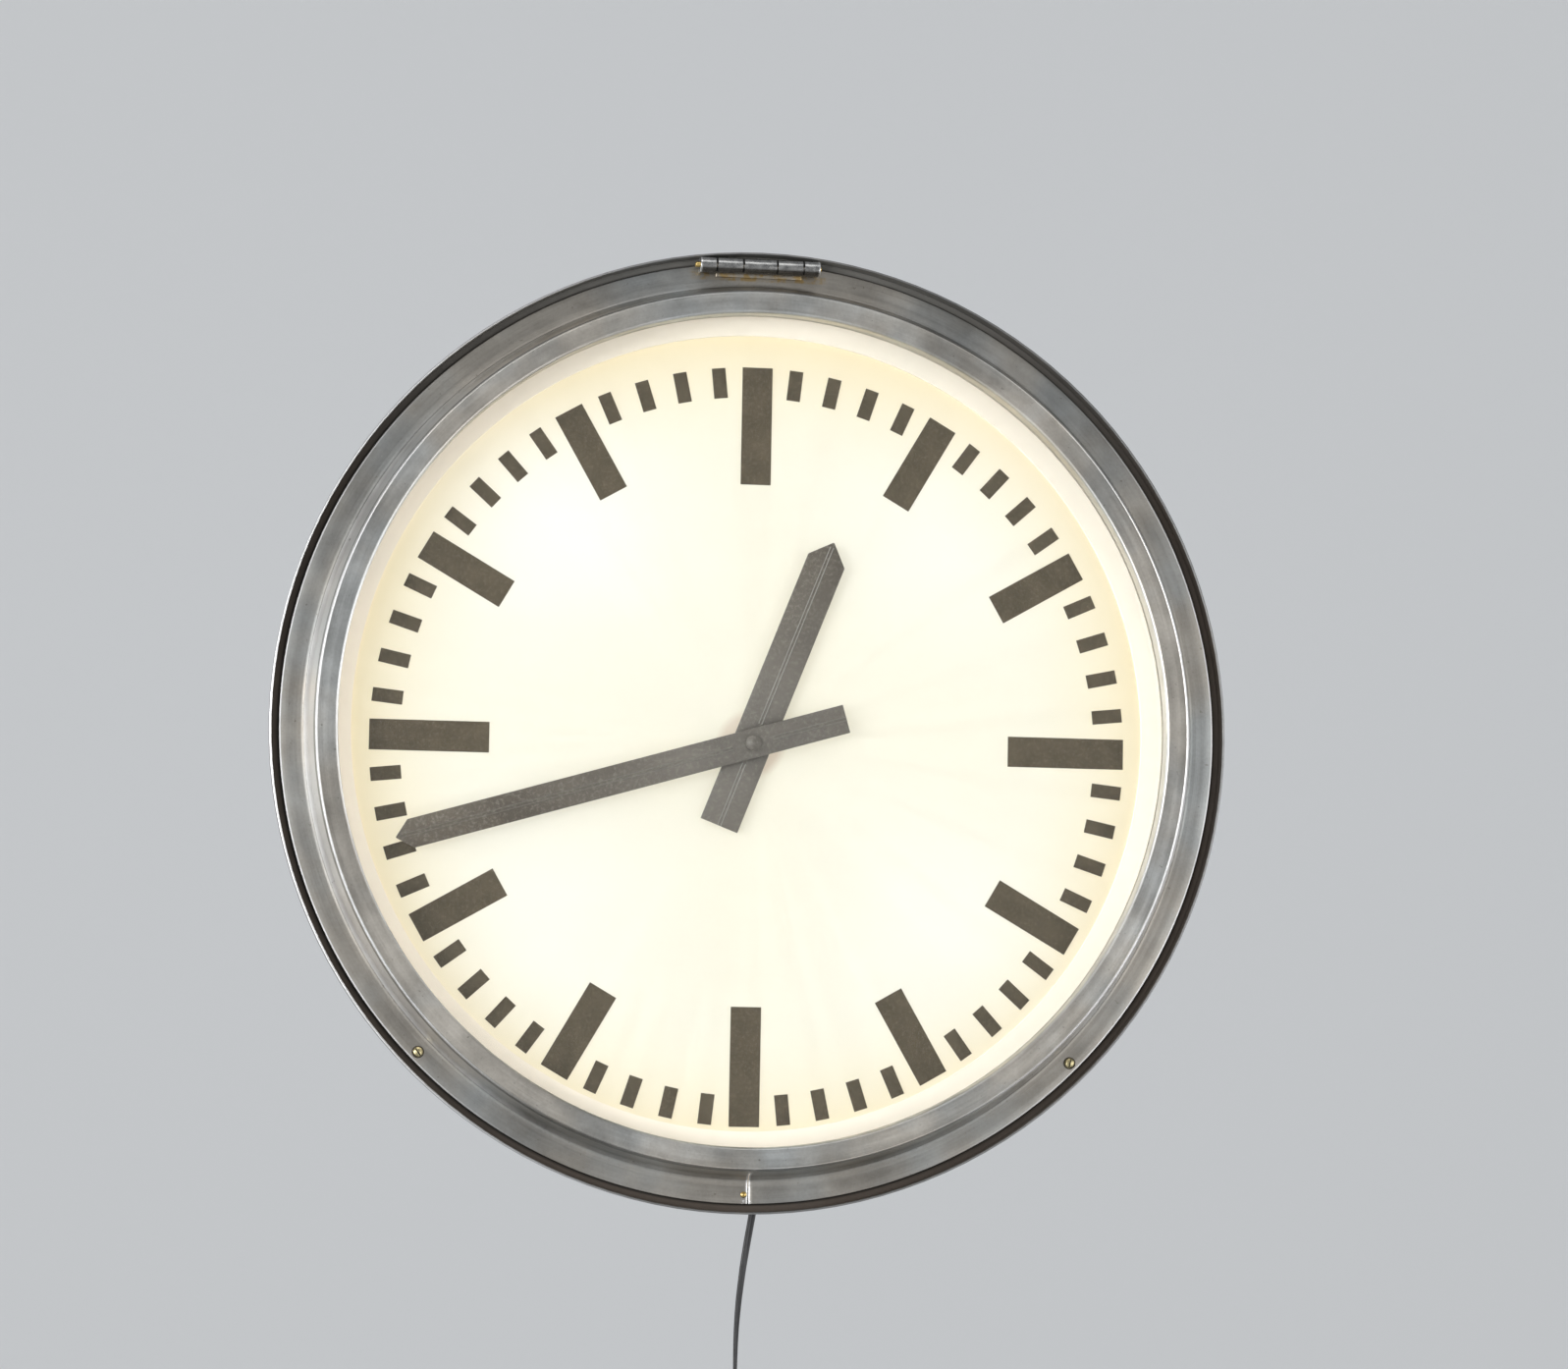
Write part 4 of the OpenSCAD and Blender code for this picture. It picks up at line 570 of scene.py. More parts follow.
def glowing_enamel(name):
    """Thin white enamel, the lamps' light through it painted in as a faint glow, warmer at the left, with
    painted shade above and below.
    """
    f = Finish(name)
    fine = f.noise(9, 4, 0.6)
    broad = f.noise(120, 2, 0.5)
    x, _, z = f.split()
    colour = f.blend(f.levels(x, -0.28, 0.28), (0.86, 0.76, 0.625), (0.82, 0.765, 0.675))
    # Painted shade towards the top and the bottom of the ring
    painted_shade_top, below = f.levels(z, 0.10, 0.26, 1.0, 0.77), f.levels(z, -0.10, -0.26, 1.0, 0.88)
    colour = f.shaded(colour, f.times(painted_shade_top, below))
    stains = f.levels(f.times(fine, broad), 0.15, 0.38, 0.35, 0.0)
    colour = f.blend(stains, colour, (0.74, 0.67, 0.58))
    f.set("Base Color", colour)
    # Painted glow: the enamel's colour given out as light
    f.set("Emission Color", colour)
    f.shader.inputs["Emission Strength"].default_value = RING_GLOW
    f.set("Roughness", f.spread(broad, 0.34, 0.46))
    f.bump(fine, 0.02, 0.4)
    return f.material


def window_glass(name):
    """Clear glass that lets lamps through, with a few wiped smears."""
    f = Finish(name, IOR=1.46, Transmission_Weight=1.0)
    smear = f.noise(60, 4, 0.6, f.scaled(f.place, (1, 1, 2.4)))
    f.set("Roughness", f.levels(smear, 0.45, 0.75, 0.0, 0.05))
    f.set("Base Color", f.ramp(smear, (0.3, (0.97, 0.985, 0.98)), (0.7, (0.99, 1.0, 0.995))))
    clear = f.add("ShaderNodeBsdfTransparent", Color=(0.96, 0.975, 0.97))
    f.mix_shaders(f.add("ShaderNodeLightPath").outputs["Is Shadow Ray"], clear)
    return f.material


# Hands and marks


def worn_hand_with_sheen(name, turn=0, top=0, rib_highlight=0.0):
    """Black enamel gone grey, with brush marks and dust, paler towards the hub, and a painted highlight along
    the rib's two edges.
    """
    f = Finish(name)
    streak = f.noise(3, 5, 0.65, f.scaled(f.place, (0.35, 1, 1)))
    dust = f.noise(2.2, 4, 0.75)
    broad = f.noise(45, 3, 0.5)
    mixed = f.plus(f.times(streak, 0.4), f.times(broad, 0.6))
    x, y, z = f.split()
    up = f.maths("SUBTRACT", z, DIAL_Y * MM)
    darker_outward = f.ramp(mixed, (0.35, (0.050, 0.037, 0.024)), (0.65, (0.078, 0.060, 0.040)))
    paler_near_hub = f.ramp(mixed, (0.35, (0.080, 0.069, 0.057)), (0.65, (0.126, 0.111, 0.094)))
    colour = f.blend(f.levels(f.reach(x, up), 0.03, 0.17), paler_near_hub, darker_outward)
    colour = f.blend(f.levels(dust, 0.5, 0.68, 0.0, 0.6), colour, (0.21, 0.19, 0.16))
    # Painted highlight along the rib's two edges
    if rib_highlight:
        a = math.radians(turn)
        across = f.plus(f.times(x, math.cos(a)), f.times(up, math.sin(a)))
        line = f.band(f.maths("ABSOLUTE", across), RIB_HIGHLIGHT_FROM, RIB_HIGHLIGHT_TO, 0.2)
        line = f.times(line, f.levels(f.times(y, -1), top * MM, (top + 0.2) * MM))
        colour = f.blend(f.times(line, rib_highlight), colour, (0.30, 0.29, 0.27))
    f.set("Base Color", colour)
    f.set("Roughness", f.spread(broad, 0.42, 0.56))
    f.bump(dust, 0.02, 0.4)
    return f.material


def mark_paint(name):
    """Matt black marks, printed a little unevenly."""
    f = Finish(name)
    cloud = f.noise(14, 5, 0.65)
    speck = f.noise(2.2, 4, 0.75)
    colour = f.ramp(cloud, (0.32, (0.050, 0.037, 0.019)), (0.7, (0.080, 0.061, 0.036)))
    colour = f.blend(f.levels(speck, 0.5, 0.68, 0.0, 0.5), colour, (0.15, 0.125, 0.09))
    f.set("Base Color", colour)
    f.set("Roughness", f.spread(cloud, 0.4, 0.55))
    f.set("Specular IOR Level", 0.25)
    f.bump(speck, 0.015, 0.35)
    return f.material


# The finishes themselves, and which node wears which

# Edges that get a painted highlight, on the door ring and on the case's lip: two radii and two heights
RING_SHEEN_EDGES = (
    (FLANGE_R - 1, FLANGE_R + 0.6, FLANGE_Z - 3, FLANGE_Z + 0.6),
    (CREST_R - 1.1, CREST_R + 0.5, CREST_Z - 1.4, CREST_Z + 1),
    (WINDOW_R - 0.5, WINDOW_R + 1, RETURN_Z, WINDOW_Z + 0.5),
)
LIP_SHEEN_EDGE = ((LIP_R - 1.8, LIP_R + 0.4, LIP_Z - 0.1, LIP_Z + 2),)
# Rings of the door's sheet with painted light and shade: two radii, painted gain at the middle, painted gain
# at the sides, and added roughness
RING_LIGHT_ZONES = (
    (200, CREST_R - 0.9, 0.45, 0.45, 0.0),
    (CREST_R - 0.7, CREST_R + 1, -0.4, 0.0, 0.0),
    (CREST_R + 1.2, COVE_R - 5.6, 0.35, 1.5, 0.12),
    (COVE_R - 4.8, COVE_R - 1, -0.1, -0.08, 0.12),
)
door_steel = spun_steel("door_steel", 0.28, 0.40, 0.34, RING_SHEEN_EDGES, (0.75, 0.75), RING_LIGHT_ZONES)
case_steel = spun_steel("case_steel", 0.27, 0.40, 0.32, LIP_SHEEN_EDGE, (0.85, 0.24))
glass_putty = plain_coat("glass_putty", (0.60, 0.55, 0.47), 0.6, 2, 0.3, 0.05)
sheet_zinc = plain_metal("zinc_sheet", (0.42, 0.43, 0.44), 0.42, 6, 0.3, 0.03)
hinge_steel = hinge_with_painted_light("hinge_steel")
bright_steel = plain_metal("bright_steel", (0.58, 0.58, 0.57), 0.22, 1.2, 0.3, 0.01)
brass = plain_metal("brass", (0.76, 0.55, 0.20), 0.28, 1.5, 0.45, 0.015)
old_brass = plain_metal("old_brass", (0.62, 0.54, 0.31), 0.32, 1.2, 0.5, 0.03)
slot_dirt_and_shade = plain_coat("slot_dirt_and_shade", (0.05, 0.042, 0.03), 0.7, 1, 0.4, 0.03)
iron = plain_metal("laminated_iron", (0.22, 0.21, 0.21), 0.5, 2.0, 0.5, 0.03)
white_enamel = glowing_enamel("white_enamel")
opal = lit_opal("opal_dial")
clear_glass = window_glass("window_glass")
marks_black = mark_paint("mark_black")
hour_black = worn_hand_with_sheen("hour_hand_enamel", HOUR_TURN, HOUR_LOW + HAND_T, 0.8)
minute_black = worn_hand_with_sheen("minute_hand_enamel", MINUTE_TURN, MINUTE_LOW + HAND_T, 0.2)
hand_dark = worn_hand_with_sheen("nut_enamel")
rubber = plain_coat("rubber", (0.020, 0.019, 0.018), 0.62, 1.5, 0.4, 0.04)
flex_black = plain_coat("flex_pvc", (0.024, 0.024, 0.026), 0.42, 2.5, 0.3, 0.02)
plug_black = plain_coat("plug_pvc", (0.028, 0.028, 0.029), 0.36, 2.0, 0.3, 0.02)
porcelain = plain_coat("porcelain", (0.82, 0.80, 0.75), 0.16, 5, 0.06, 0.02)
box_plastic = plain_coat("box_plastic", (0.11, 0.115, 0.12), 0.5, 1.2, 0.2, 0.03)
white_wire = plain_coat("white_wire", (0.66, 0.63, 0.55), 0.45, 3, 0.15, 0.01)
red_wire = plain_coat("red_wire", (0.34, 0.03, 0.02), 0.42, 3, 0.2, 0.01)
nylon = plain_coat("nylon", (0.70, 0.68, 0.61), 0.38, 2, 0.08, 0.01)
winding = plain_coat("winding_tape", (0.34, 0.17, 0.06), 0.5, 1.0, 0.3, 0.03)
pearl_glass = plain_coat("pearl_bulb", (0.80, 0.79, 0.75), 0.3, 3, 0.05, 0.01)

NODE_FINISH = {
    "case_drum": case_steel, "door_seal": rubber, "lock_brackets": sheet_zinc,
    "dial_brackets": sheet_zinc, "dial_spacers": bright_steel, "dial_ring": white_enamel,
    "dial_screws": bright_steel, "opal_dial": opal, "dial_marks": marks_black,
    "hinge_case_leaf": hinge_steel, "hinge_pin": brass, "cable_grommet": rubber,
    "inlet_lead": flex_black, "terminal_block": porcelain, "terminal_screws": brass,
    "driver_box": box_plastic, "driver_cover": box_plastic, "base_nuts": bright_steel,
    "lamp_brackets": sheet_zinc, "lampholders": porcelain, "holder_nuts": brass,
    "bulb_globes": pearl_glass, "bulb_caps": bright_steel, "lamp_wires": white_wire,
    "coil_wires": red_wire, "movement_rails": sheet_zinc, "rear_plate": brass,
    "front_plate": brass, "plate_pillars": bright_steel, "plate_nuts": bright_steel,
    "plate_bushes": brass, "stator": iron, "coil_bobbin": nylon, "coil_winding": winding,
    "motion_bridge": brass, "bridge_pillars": bright_steel, "door_ring": door_steel,
    "hinge_door_leaf": hinge_steel, "door_glass": clear_glass, "glass_seal": glass_putty,
    "glass_clips": sheet_zinc, "lock_screws": brass, "ring_joint_plate": sheet_zinc,
    "joint_rivet": brass, "minute_arbor": bright_steel, "centre_wheel": brass,
    "cannon_pinion": bright_steel, "minute_hand": minute_black, "minute_hub": bright_steel,
    "hand_nut": hand_dark, "hour_wheel": brass, "hour_hub": bright_steel,
    "hour_hand": hour_black, "motion_wheel": brass, "third_wheel": brass, "rotor": iron,
    "cord": flex_black, "cord_coil": flex_black, "cord_tie": plug_black, "plug": plug_black,
}


def finish_nodes():
    for name, material in NODE_FINISH.items():
        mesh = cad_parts[name].data
        mesh.materials.clear()
        mesh.materials.append(material)


finish_nodes()

# Cord: the flat twin flex, its coil and the plug on its end

FLEX_W, FLEX_T = 5.0, 2.5
OUTLET_Z = 24
FREE_CORD = [
    (19.5, -316.88), (18.9, -321.5), (17.8, -328), (16.3, -337), (14.9, -346), (13.6, -355),
    (12.4, -365), (11.3, -375), (10.5, -385), (9.9, -395), (9.6, -405), (9.5, -415),
    (9.5, -425), (9.5, -435), (9.5, -443), (9.5, -451), (9.5, -459), (9.5, -468),
]
FREE_TURN = [90, 90, 85, 80, 72, 64, 56, 48, 40, 32, 24, 17, 11, 6, 3, 0, 0, 0]
COIL_TURNS, COIL_OUT_R, COIL_PITCH, COIL_LAYER, COIL_STEPS = 9, 37, 2.7, 5.5, 36
COIL_X, COIL_Y = 9.5 - COIL_OUT_R, -473
PLUG_X, PLUG_Z, PLUG_TOP = COIL_X + COIL_OUT_R, OUTLET_Z + COIL_LAYER, -518
TAIL = (-478, -490, -504, PLUG_TOP)
WEB_T = 1.44


def coil_place(t):
    """Centre and outward direction of the flex after t turns of its coil."""
    half = COIL_TURNS / 2
    radius = COIL_OUT_R - COIL_PITCH * (half - abs(t - half))
    height = COIL_LAYER * min(max((t - half) * 2 + 0.5, 0), 1)
    angle = -math.tau * t
    out = Vector((math.cos(angle), math.sin(angle), 0))
    return Vector((COIL_X, COIL_Y, OUTLET_Z + height)) + out * radius, out


def flex_frames():
    """Centre, broad direction and narrow direction of the flex's section along its length."""
    frames = []
    for (x, y), turn in zip(FREE_CORD, FREE_TURN):
        a = math.radians(turn + 90)
        wide = Vector((math.cos(a), 0, math.sin(a)))
        frames.append((Vector((x, y, OUTLET_Z)), wide, Vector((-math.sin(a), 0, math.cos(a)))))
    for i in range(COIL_TURNS * COIL_STEPS + 1):
        centre, out = coil_place(i / COIL_STEPS)
        frames.append((centre, Vector((0, 0, 1)), -out))
    for y in TAIL:
        frames.append((Vector((PLUG_X, y, PLUG_Z)), Vector((0, 0, 1)), Vector((-1, 0, 0))))
    return frames


def flex_section():
    """Two round cores side by side with a low web between them."""
    points, steps, core = [], 20, FLEX_T / 2
    for k in range(steps):
        a = math.tau * k / steps
        u = FLEX_W / 2 * math.cos(a)
        high = math.sqrt(max(core**2 - (abs(u) - (FLEX_W / 2 - core)) ** 2, 0))
        if abs(u) < core / 2:
            high = max(high, WEB_T / 2)
        points.append((u, math.copysign(high, math.sin(a)) if abs(math.sin(a)) > 1e-6 else 0))
    return points


def make_flex():
    frames = flex_frames()
    bm = bmesh.new()
    section = flex_section()

    def stance(frame_at):
        centre, wide, narrow = frame_at
        turn = Matrix((wide, narrow, wide.cross(narrow))).transposed()
        return Matrix.Translation(centre) @ turn.to_4x4()

    edges = chain(bm, [stance(frames[0]) @ Vector((u, v, 0)) for u, v in section])
    bmesh.ops.edgeloop_fill(bm, edges=edges)
    for before, after in zip(frames, frames[1:]):
        out = bmesh.ops.extrude_edge_only(bm, edges=edges)["geom"]
        edges = edges_in(out)
        bmesh.ops.transform(bm, matrix=stance(after) @ stance(before).inverted(), verts=verts_in(out))
    bmesh.ops.edgeloop_fill(bm, edges=edges)
    path = [FACE_ON @ centre for centre, _, _ in frames]
    flex = finished("twin_flex", bm, flex_black, "case", ("cord", "cord_coil"), 60)
    return flex, path


# Plug, its strain relief and the tie round the coil

RELIEF_L, PLUG_L = 16, 34
PRONG_APART, PRONG_L, PRONG_R = 18.6, 18.5, 1.75


def stadium(bm, y, half_w, half_t):
    """Closed line round a flat section of the plug, at a height."""
    points = []
    for side, start in ((1, -90), (-1, 90)):
        centre = (PLUG_X + side * (half_w - half_t), PLUG_Z)
        points += [(px, y, pz) for px, pz in arc(centre, half_t, start, start + 180, 12)]
    return chain(bm, points)


def plug_stations():
    """Sections of the plug from its top down: how far down, half the width, half the thickness."""
    stations = [(0, 13.4, 3.4), (0.4, 14.6, 4.2), (1.4, 15.4, 4.75), (7, 15.8, 5.2)]
    groove = ((0, 15.9, 5.35), (0.5, 15.5, 4.9), (1.3, 15.5, 4.9), (1.8, 16.0, 5.4))
    for i in range(5):
        pitch, growth = 9 + 2.6 * i, 0.1 * i
        stations += [(pitch + down, half_w + growth, half_t + growth) for down, half_w, half_t in groove]
    stations += [(25, 17.0, 6.3), (PLUG_L - 1.6, 17.5, 6.75), (PLUG_L - 0.5, 17.3, 6.55)]
    return stations + [(PLUG_L, 16.6, 5.9)]


def relief_profile():
    """Ribbed sleeve that the flex leaves the plug by, widening towards it."""
    profile = [(1.9, 0)] + arc((2.6, 0.8), 0.8, -60, 0, 3)
    for i in range(4):
        z, r = 2.2 + 3.4 * i, 3.3 + 0.25 * i
        profile += [(r, z), (r + 0.75, z + 0.3), (r + 0.85, z + 1.9), (r + 0.1, z + 2.2)]
    return profile + [(4.6, RELIEF_L - 0.4), (5.2, RELIEF_L + 1), (1.9, RELIEF_L + 1)]


def make_plug():
    top = PLUG_TOP - RELIEF_L
    bm = bmesh.new()
    rings = [stadium(bm, top - down, half_w, half_t) for down, half_w, half_t in plug_stations()]
    bmesh.ops.edgeloop_fill(bm, edges=rings[0])
    bmesh.ops.edgeloop_fill(bm, edges=rings[-1])
    for upper, lower in zip(rings, rings[1:]):
        bmesh.ops.bridge_loops(bm, edges=upper + lower)
    turned_part(bm, relief_profile(), 40, along((0, -1, 0), (PLUG_X, PLUG_TOP, PLUG_Z)))
    body = finished("moulded_plug", bm, plug_black, "case", ("plug",), 40)
    prong = [(0.001, 0), (PRONG_R, 0)] + arc((PRONG_R - 1.4, PRONG_L - 1.2), 1.4, 0, 84, 6)
    prong += [(0.001, PRONG_L + 0.2)]
    sleeve = [(1.8, 0), (2.0, 0), (2.0, 8.6), (1.9, 8.9), (1.8, 8.9)]
    pins, sleeves = bmesh.new(), bmesh.new()
    for side in (-1, 1):
        place = along((0, -1, 0), (PLUG_X + side * PRONG_APART / 2, top - PLUG_L + 0.2, PLUG_Z))
        turned_part(pins, prong, 32, place)
        turned_part(sleeves, sleeve, 32, place)
    pins = finished("plug_pins", pins, bright_steel, "case", ("plug",), 40)
    sleeves = finished("pin_sleeves", sleeves, plug_black, "case", ("plug",), 40)
    return [body, pins, sleeves]


def make_tie():
    """Flat strap round the turns at the coil's left, with its head and the cut end of its tail."""
    bm = bmesh.new()
    left, right, low, high = COIL_X - 38.1, COIL_X - 22, 20.3, 33.2
    corner, strap_t, half_w = 2.2, 1.2, 3
    loops = []
    for r in (corner, corner - strap_t):
        points = []
        for cx, cz, start in (
            (right - corner, high - corner, 0), (left + corner, high - corner, 90),
            (left + corner, low + corner, 180), (right - corner, low + corner, 270),
        ):
            points += arc((cx, cz), r, start, start + 90, 5)
        loops.append([chain(bm, [(x, y, z) for x, z in points]) for y in (COIL_Y - half_w, COIL_Y + half_w)])
    (out_low, out_high), (in_low, in_high) = loops
    for a, b in ((out_low, out_high), (out_high, in_high), (in_high, in_low), (in_low, out_low)):
        bmesh.ops.bridge_loops(bm, edges=a + b)
    head = block(bm, (left - 3.6, COIL_Y - 3.5, 23.7), (left + 0.4, COIL_Y + 3.5, 29.7))
    tail = block(bm, (left - 2.6, COIL_Y - 2.4, 29), (left - 1.5, COIL_Y + 2.4, 32.6))
    soften(bm, edges_of(head + tail), 0.45, 2)
    return finished("strap_tie", bm, plug_black, "case", ("cord_tie",), 40)


flex, flex_path = make_flex()
make_plug() + [make_tie()]

# Door ring: the window's flat band, and the cove and flange round it with their joint


def make_window_band():
    """Lip that turns back to the glass, rolled edge, flat band and the bead on the crest."""
    rolled, bead = 2.2, 0.6
    profile = [(WINDOW_R, RETURN_Z)] + arc((WINDOW_R + rolled, WINDOW_Z - rolled), rolled, 180, 90, 8)
    profile += [(CREST_R - 6, WINDOW_Z + 0.22), (CREST_R - 1.5, WINDOW_Z + 0.12)]
    profile += arc((CREST_R - bead - 0.02, CREST_Z - bead), bead, 150, 0, 7)
    profile += [(CREST_R, CREST_Z - 1.5), (CREST_R - 1.3, CREST_Z - 2), (WINDOW_R + 2.4, WINDOW_Z - SHEET)]
    profile += [(WINDOW_R + SHEET, WINDOW_Z - 2.4), (WINDOW_R + SHEET, RETURN_Z)]
    bm = turned_part(bmesh.new(), profile, 300)
    finished("window_band", bm, door_steel, "door", ("door_ring",), 40)


def cove_profile():
    """Section of the cove and flange, along the front and back again."""
    foot_h, rolled = 8.4, 0.55
    front = [(CREST_R + 0.3, COVE_TOP_Z), (CREST_R + 1, 143), (CREST_R + 2, 138)]
    front += arc((FOOT_R, FLANGE_Z + foot_h), 5.8, 194, 270, 24, foot_h)
    front += [(COVE_R + 4, FLANGE_Z)]
    front += arc((FLANGE_R - rolled, FLANGE_Z - rolled), rolled, 90, 0, 4)
    back = arc((FLANGE_R - 0.5, FLANGE_Z - SHEET + 0.5), 0.5, 0, -90, 3)
    back += arc((COVE_R, COVE_TOP_Z), 13.15, 270, 180, 18, 26.3)
    return front + back


def make_cove():
    """Cove and flange, spun from one end of the joint to the other; both ends turn up a little."""
    burr, lift = 0.2, 0.35
    bm = bmesh.new()
    edges = chain(bm, [(r, 0, z + lift) for r, z in cove_profile()])
    turned(bm, math.degrees(math.asin((SEAM_X + SEAM_GAP / 2) / FLANGE_R)) - 90)
    bmesh.ops.edgeloop_fill(bm, edges=edges)
    gap = math.degrees(SEAM_GAP / FLANGE_R)
    for degrees, steps, rise in (
        (burr, 1, -lift), (2 * burr, 1, 0), (360 - gap - 6 * burr, 300, 0), (2 * burr, 1, 0), (burr, 1, lift),
    ):
        edges = spin(bm, edges, degrees, steps, rise)
    bmesh.ops.edgeloop_fill(bm, edges=edges)
    finished("cove_ring", bm, door_steel, "door", ("door_ring",), 40)


# Hinge: rolled knuckles on two leaves, and their pin


def add_knuckle(bm, i, bore):
    """Barrel with rounded ends, rolled from the leaf's own sheet."""
    start, end = knuckle_ends(i)
    length, edge, worn_in = end - start, 0.55, 0.15
    flat_r = BARREL_R - edge - 0.9
    profile = [(bore, worn_in), (flat_r, 0)] + arc((BARREL_R - edge, edge), edge, -90, 0, 4)
    profile += arc((BARREL_R - edge, length - edge), edge, 0, 90, 4)
    profile += [(flat_r, length), (bore, length - worn_in)]
    turned_part(bm, profile, 40, along((1, 0, 0), (start, HINGE_Y, HINGE_Z)))


def make_hinge():
    top, leaf_z = HINGE_Y + BARREL_R, HINGE_Z - BARREL_R - 0.3
    bm = bmesh.new()
    block(bm, (HINGE_LEFT + 0.2, top - LEAF_T, 122), (HINGE_LEFT + HINGE_L - 0.2, top, leaf_z))
    for i in (0, 2, 4):
        a, b = knuckle_ends(i)
        block(bm, (a + 0.2, top - LEAF_T, leaf_z), (b - 0.2, top - 0.02, HINGE_Z))
        add_knuckle(bm, i, PIN_R + 0.05)
    finished("case_knuckles", bm, hinge_steel, "case", ("hinge_case_leaf",), 40)
    bm = bmesh.new()
    a, b = knuckle_ends(1)[0], knuckle_ends(3)[1]
    leaf = block(bm, (a, COVE_R + 0.6, FLANGE_Z), (b, FLANGE_R, FLANGE_Z + LEAF_T))
    soften(bm, edges_of(leaf), 0.55, 4)
    finished("door_leaf", bm, door_steel, "door", ("hinge_door_leaf",), 40)
    bm = bmesh.new()
    for i in (1, 3):
        a, b = knuckle_ends(i)
        block(bm, (a + 0.1, HINGE_Y - 2, FLANGE_Z + 0.4), (b - 0.1, HINGE_Y + 2, HINGE_Z - PIN_R - 1.25))
        add_knuckle(bm, i, PIN_R + 0.1)
    finished("door_knuckles", bm, hinge_steel, "door", ("hinge_door_leaf",), 40)
    length, edge = HINGE_L + 4, 0.7
    profile = [(0.001, 0)] + arc((PIN_R - edge, edge), edge, -80, 0, 4)
    profile += arc((PIN_R - edge, length - edge), edge, 0, 80, 4) + [(0.001, length)]
    place = along((1, 0, 0), (HINGE_LEFT - 3, HINGE_Y, HINGE_Z))
    bm = turned_part(bmesh.new(), profile, 32, place)
    finished("hinge_rod", bm, brass, "case", ("hinge_pin",), 50)


# Lock screws: slotted heads with worn rims, and dirt and painted shade round them and in their slots

LOCKS = ((-135, 36), (-45, -14))
LOCK_R, LOCK_GRIP, LOCK_SHANK_R = 302.5, 5, 2
HEAD_R, HEAD_RIM, HEAD_H = 3.25, 1.3, 2.4
SLOT_W, SLOT_D = 0.8, 1.08


def add_screw(bm, place):
    """Turned screw with a domed head, whose slot is cut as a strip of faces pushed down."""
    foot = -SHEET - LOCK_GRIP
    profile = [(0.001, foot), (LOCK_SHANK_R, foot), (LOCK_SHANK_R, 0), (HEAD_R, 0), (HEAD_R, HEAD_RIM)]
    profile += [(HEAD_R - 0.35, HEAD_RIM + 0.5), (HEAD_R * 0.6, HEAD_H - 0.2), (0.001, HEAD_H)]
    one = turned_part(bmesh.new(), profile, 40)
    for x in (-SLOT_W / 2, SLOT_W / 2):
        geom = one.verts[:] + one.edges[:] + one.faces[:]
        bmesh.ops.bisect_plane(one, geom=geom, dist=1e-5, plane_co=(x, 0, 0), plane_no=(1, 0, 0))
    middles = [(face, face.calc_center_median()) for face in one.faces]
    strip = [face for face, middle in middles if abs(middle.x) < SLOT_W / 2 and middle.z > HEAD_RIM]
    floor = verts_in(bmesh.ops.extrude_face_region(one, geom=strip)["geom"])
    bmesh.ops.delete(one, geom=[face for face in strip if face.is_valid], context="FACES_ONLY")
    for v in floor:
        v.co.z = HEAD_H - SLOT_D
    bmesh.ops.transform(one, matrix=place, verts=one.verts)
    mesh = bpy.data.meshes.new("one_screw")
    one.to_mesh(mesh)
    one.free()
    bm.from_mesh(mesh)
    bpy.data.meshes.remove(mesh)


def add_dirt_and_shade(bm, seat, slot):
    """Thin dark ring round a screw's head and a dark strip on the slot's floor: dirt, with painted shade."""
    inner, outer, floor = HEAD_R - 0.1, HEAD_R + 0.75, HEAD_H - SLOT_D
    turned_part(bm, [(inner, 0.02), (outer, 0.02), (outer, 0.06), (inner, 0.06)], 40, seat)
    strip = block(bm, (-0.38, 0.3 - HEAD_R, floor - 0.02), (0.38, HEAD_R - 0.3, floor + 0.1))
    bmesh.ops.transform(bm, matrix=seat @ slot, verts=strip)


def make_lock_screws():
    screws, dirt_and_shade = bmesh.new(), bmesh.new()
    for at, slot_turn in LOCKS:
        a = math.radians(at)
        seat = Matrix.Translation((LOCK_R * math.cos(a), LOCK_R * math.sin(a), FLANGE_Z))
        slot = Matrix.Rotation(math.radians(slot_turn), 4, "Z")
        add_screw(screws, seat @ slot)
        add_dirt_and_shade(dirt_and_shade, seat, slot)
    finished("slotted_screws", screws, old_brass, "door", ("lock_screws",), 35)
    finished("screw_dirt_and_shade", dirt_and_shade, slot_dirt_and_shade, "door", ("lock_screws",), 35)


# Hands: flat bars with a pressed rib along them, pointed at the tip


def add_rib_edge(bm, side, start, end, top):
    """One raised edge of the rib, along the hand between two heights."""
    section = ((0.55, -0.2), (0.62, 0.2), (0.95, RIB_H), (1.2, RIB_H), (1.55, -0.2))
    loop = chain(bm, [(side * x, start, top + z) for x, z in section])
    bmesh.ops.edgeloop_fill(bm, edges=loop)
    out = bmesh.ops.extrude_edge_only(bm, edges=loop)["geom"]
    bmesh.ops.translate(bm, vec=(0, end - start, 0), verts=verts_in(out))
    bmesh.ops.edgeloop_fill(bm, edges=edges_in(out))


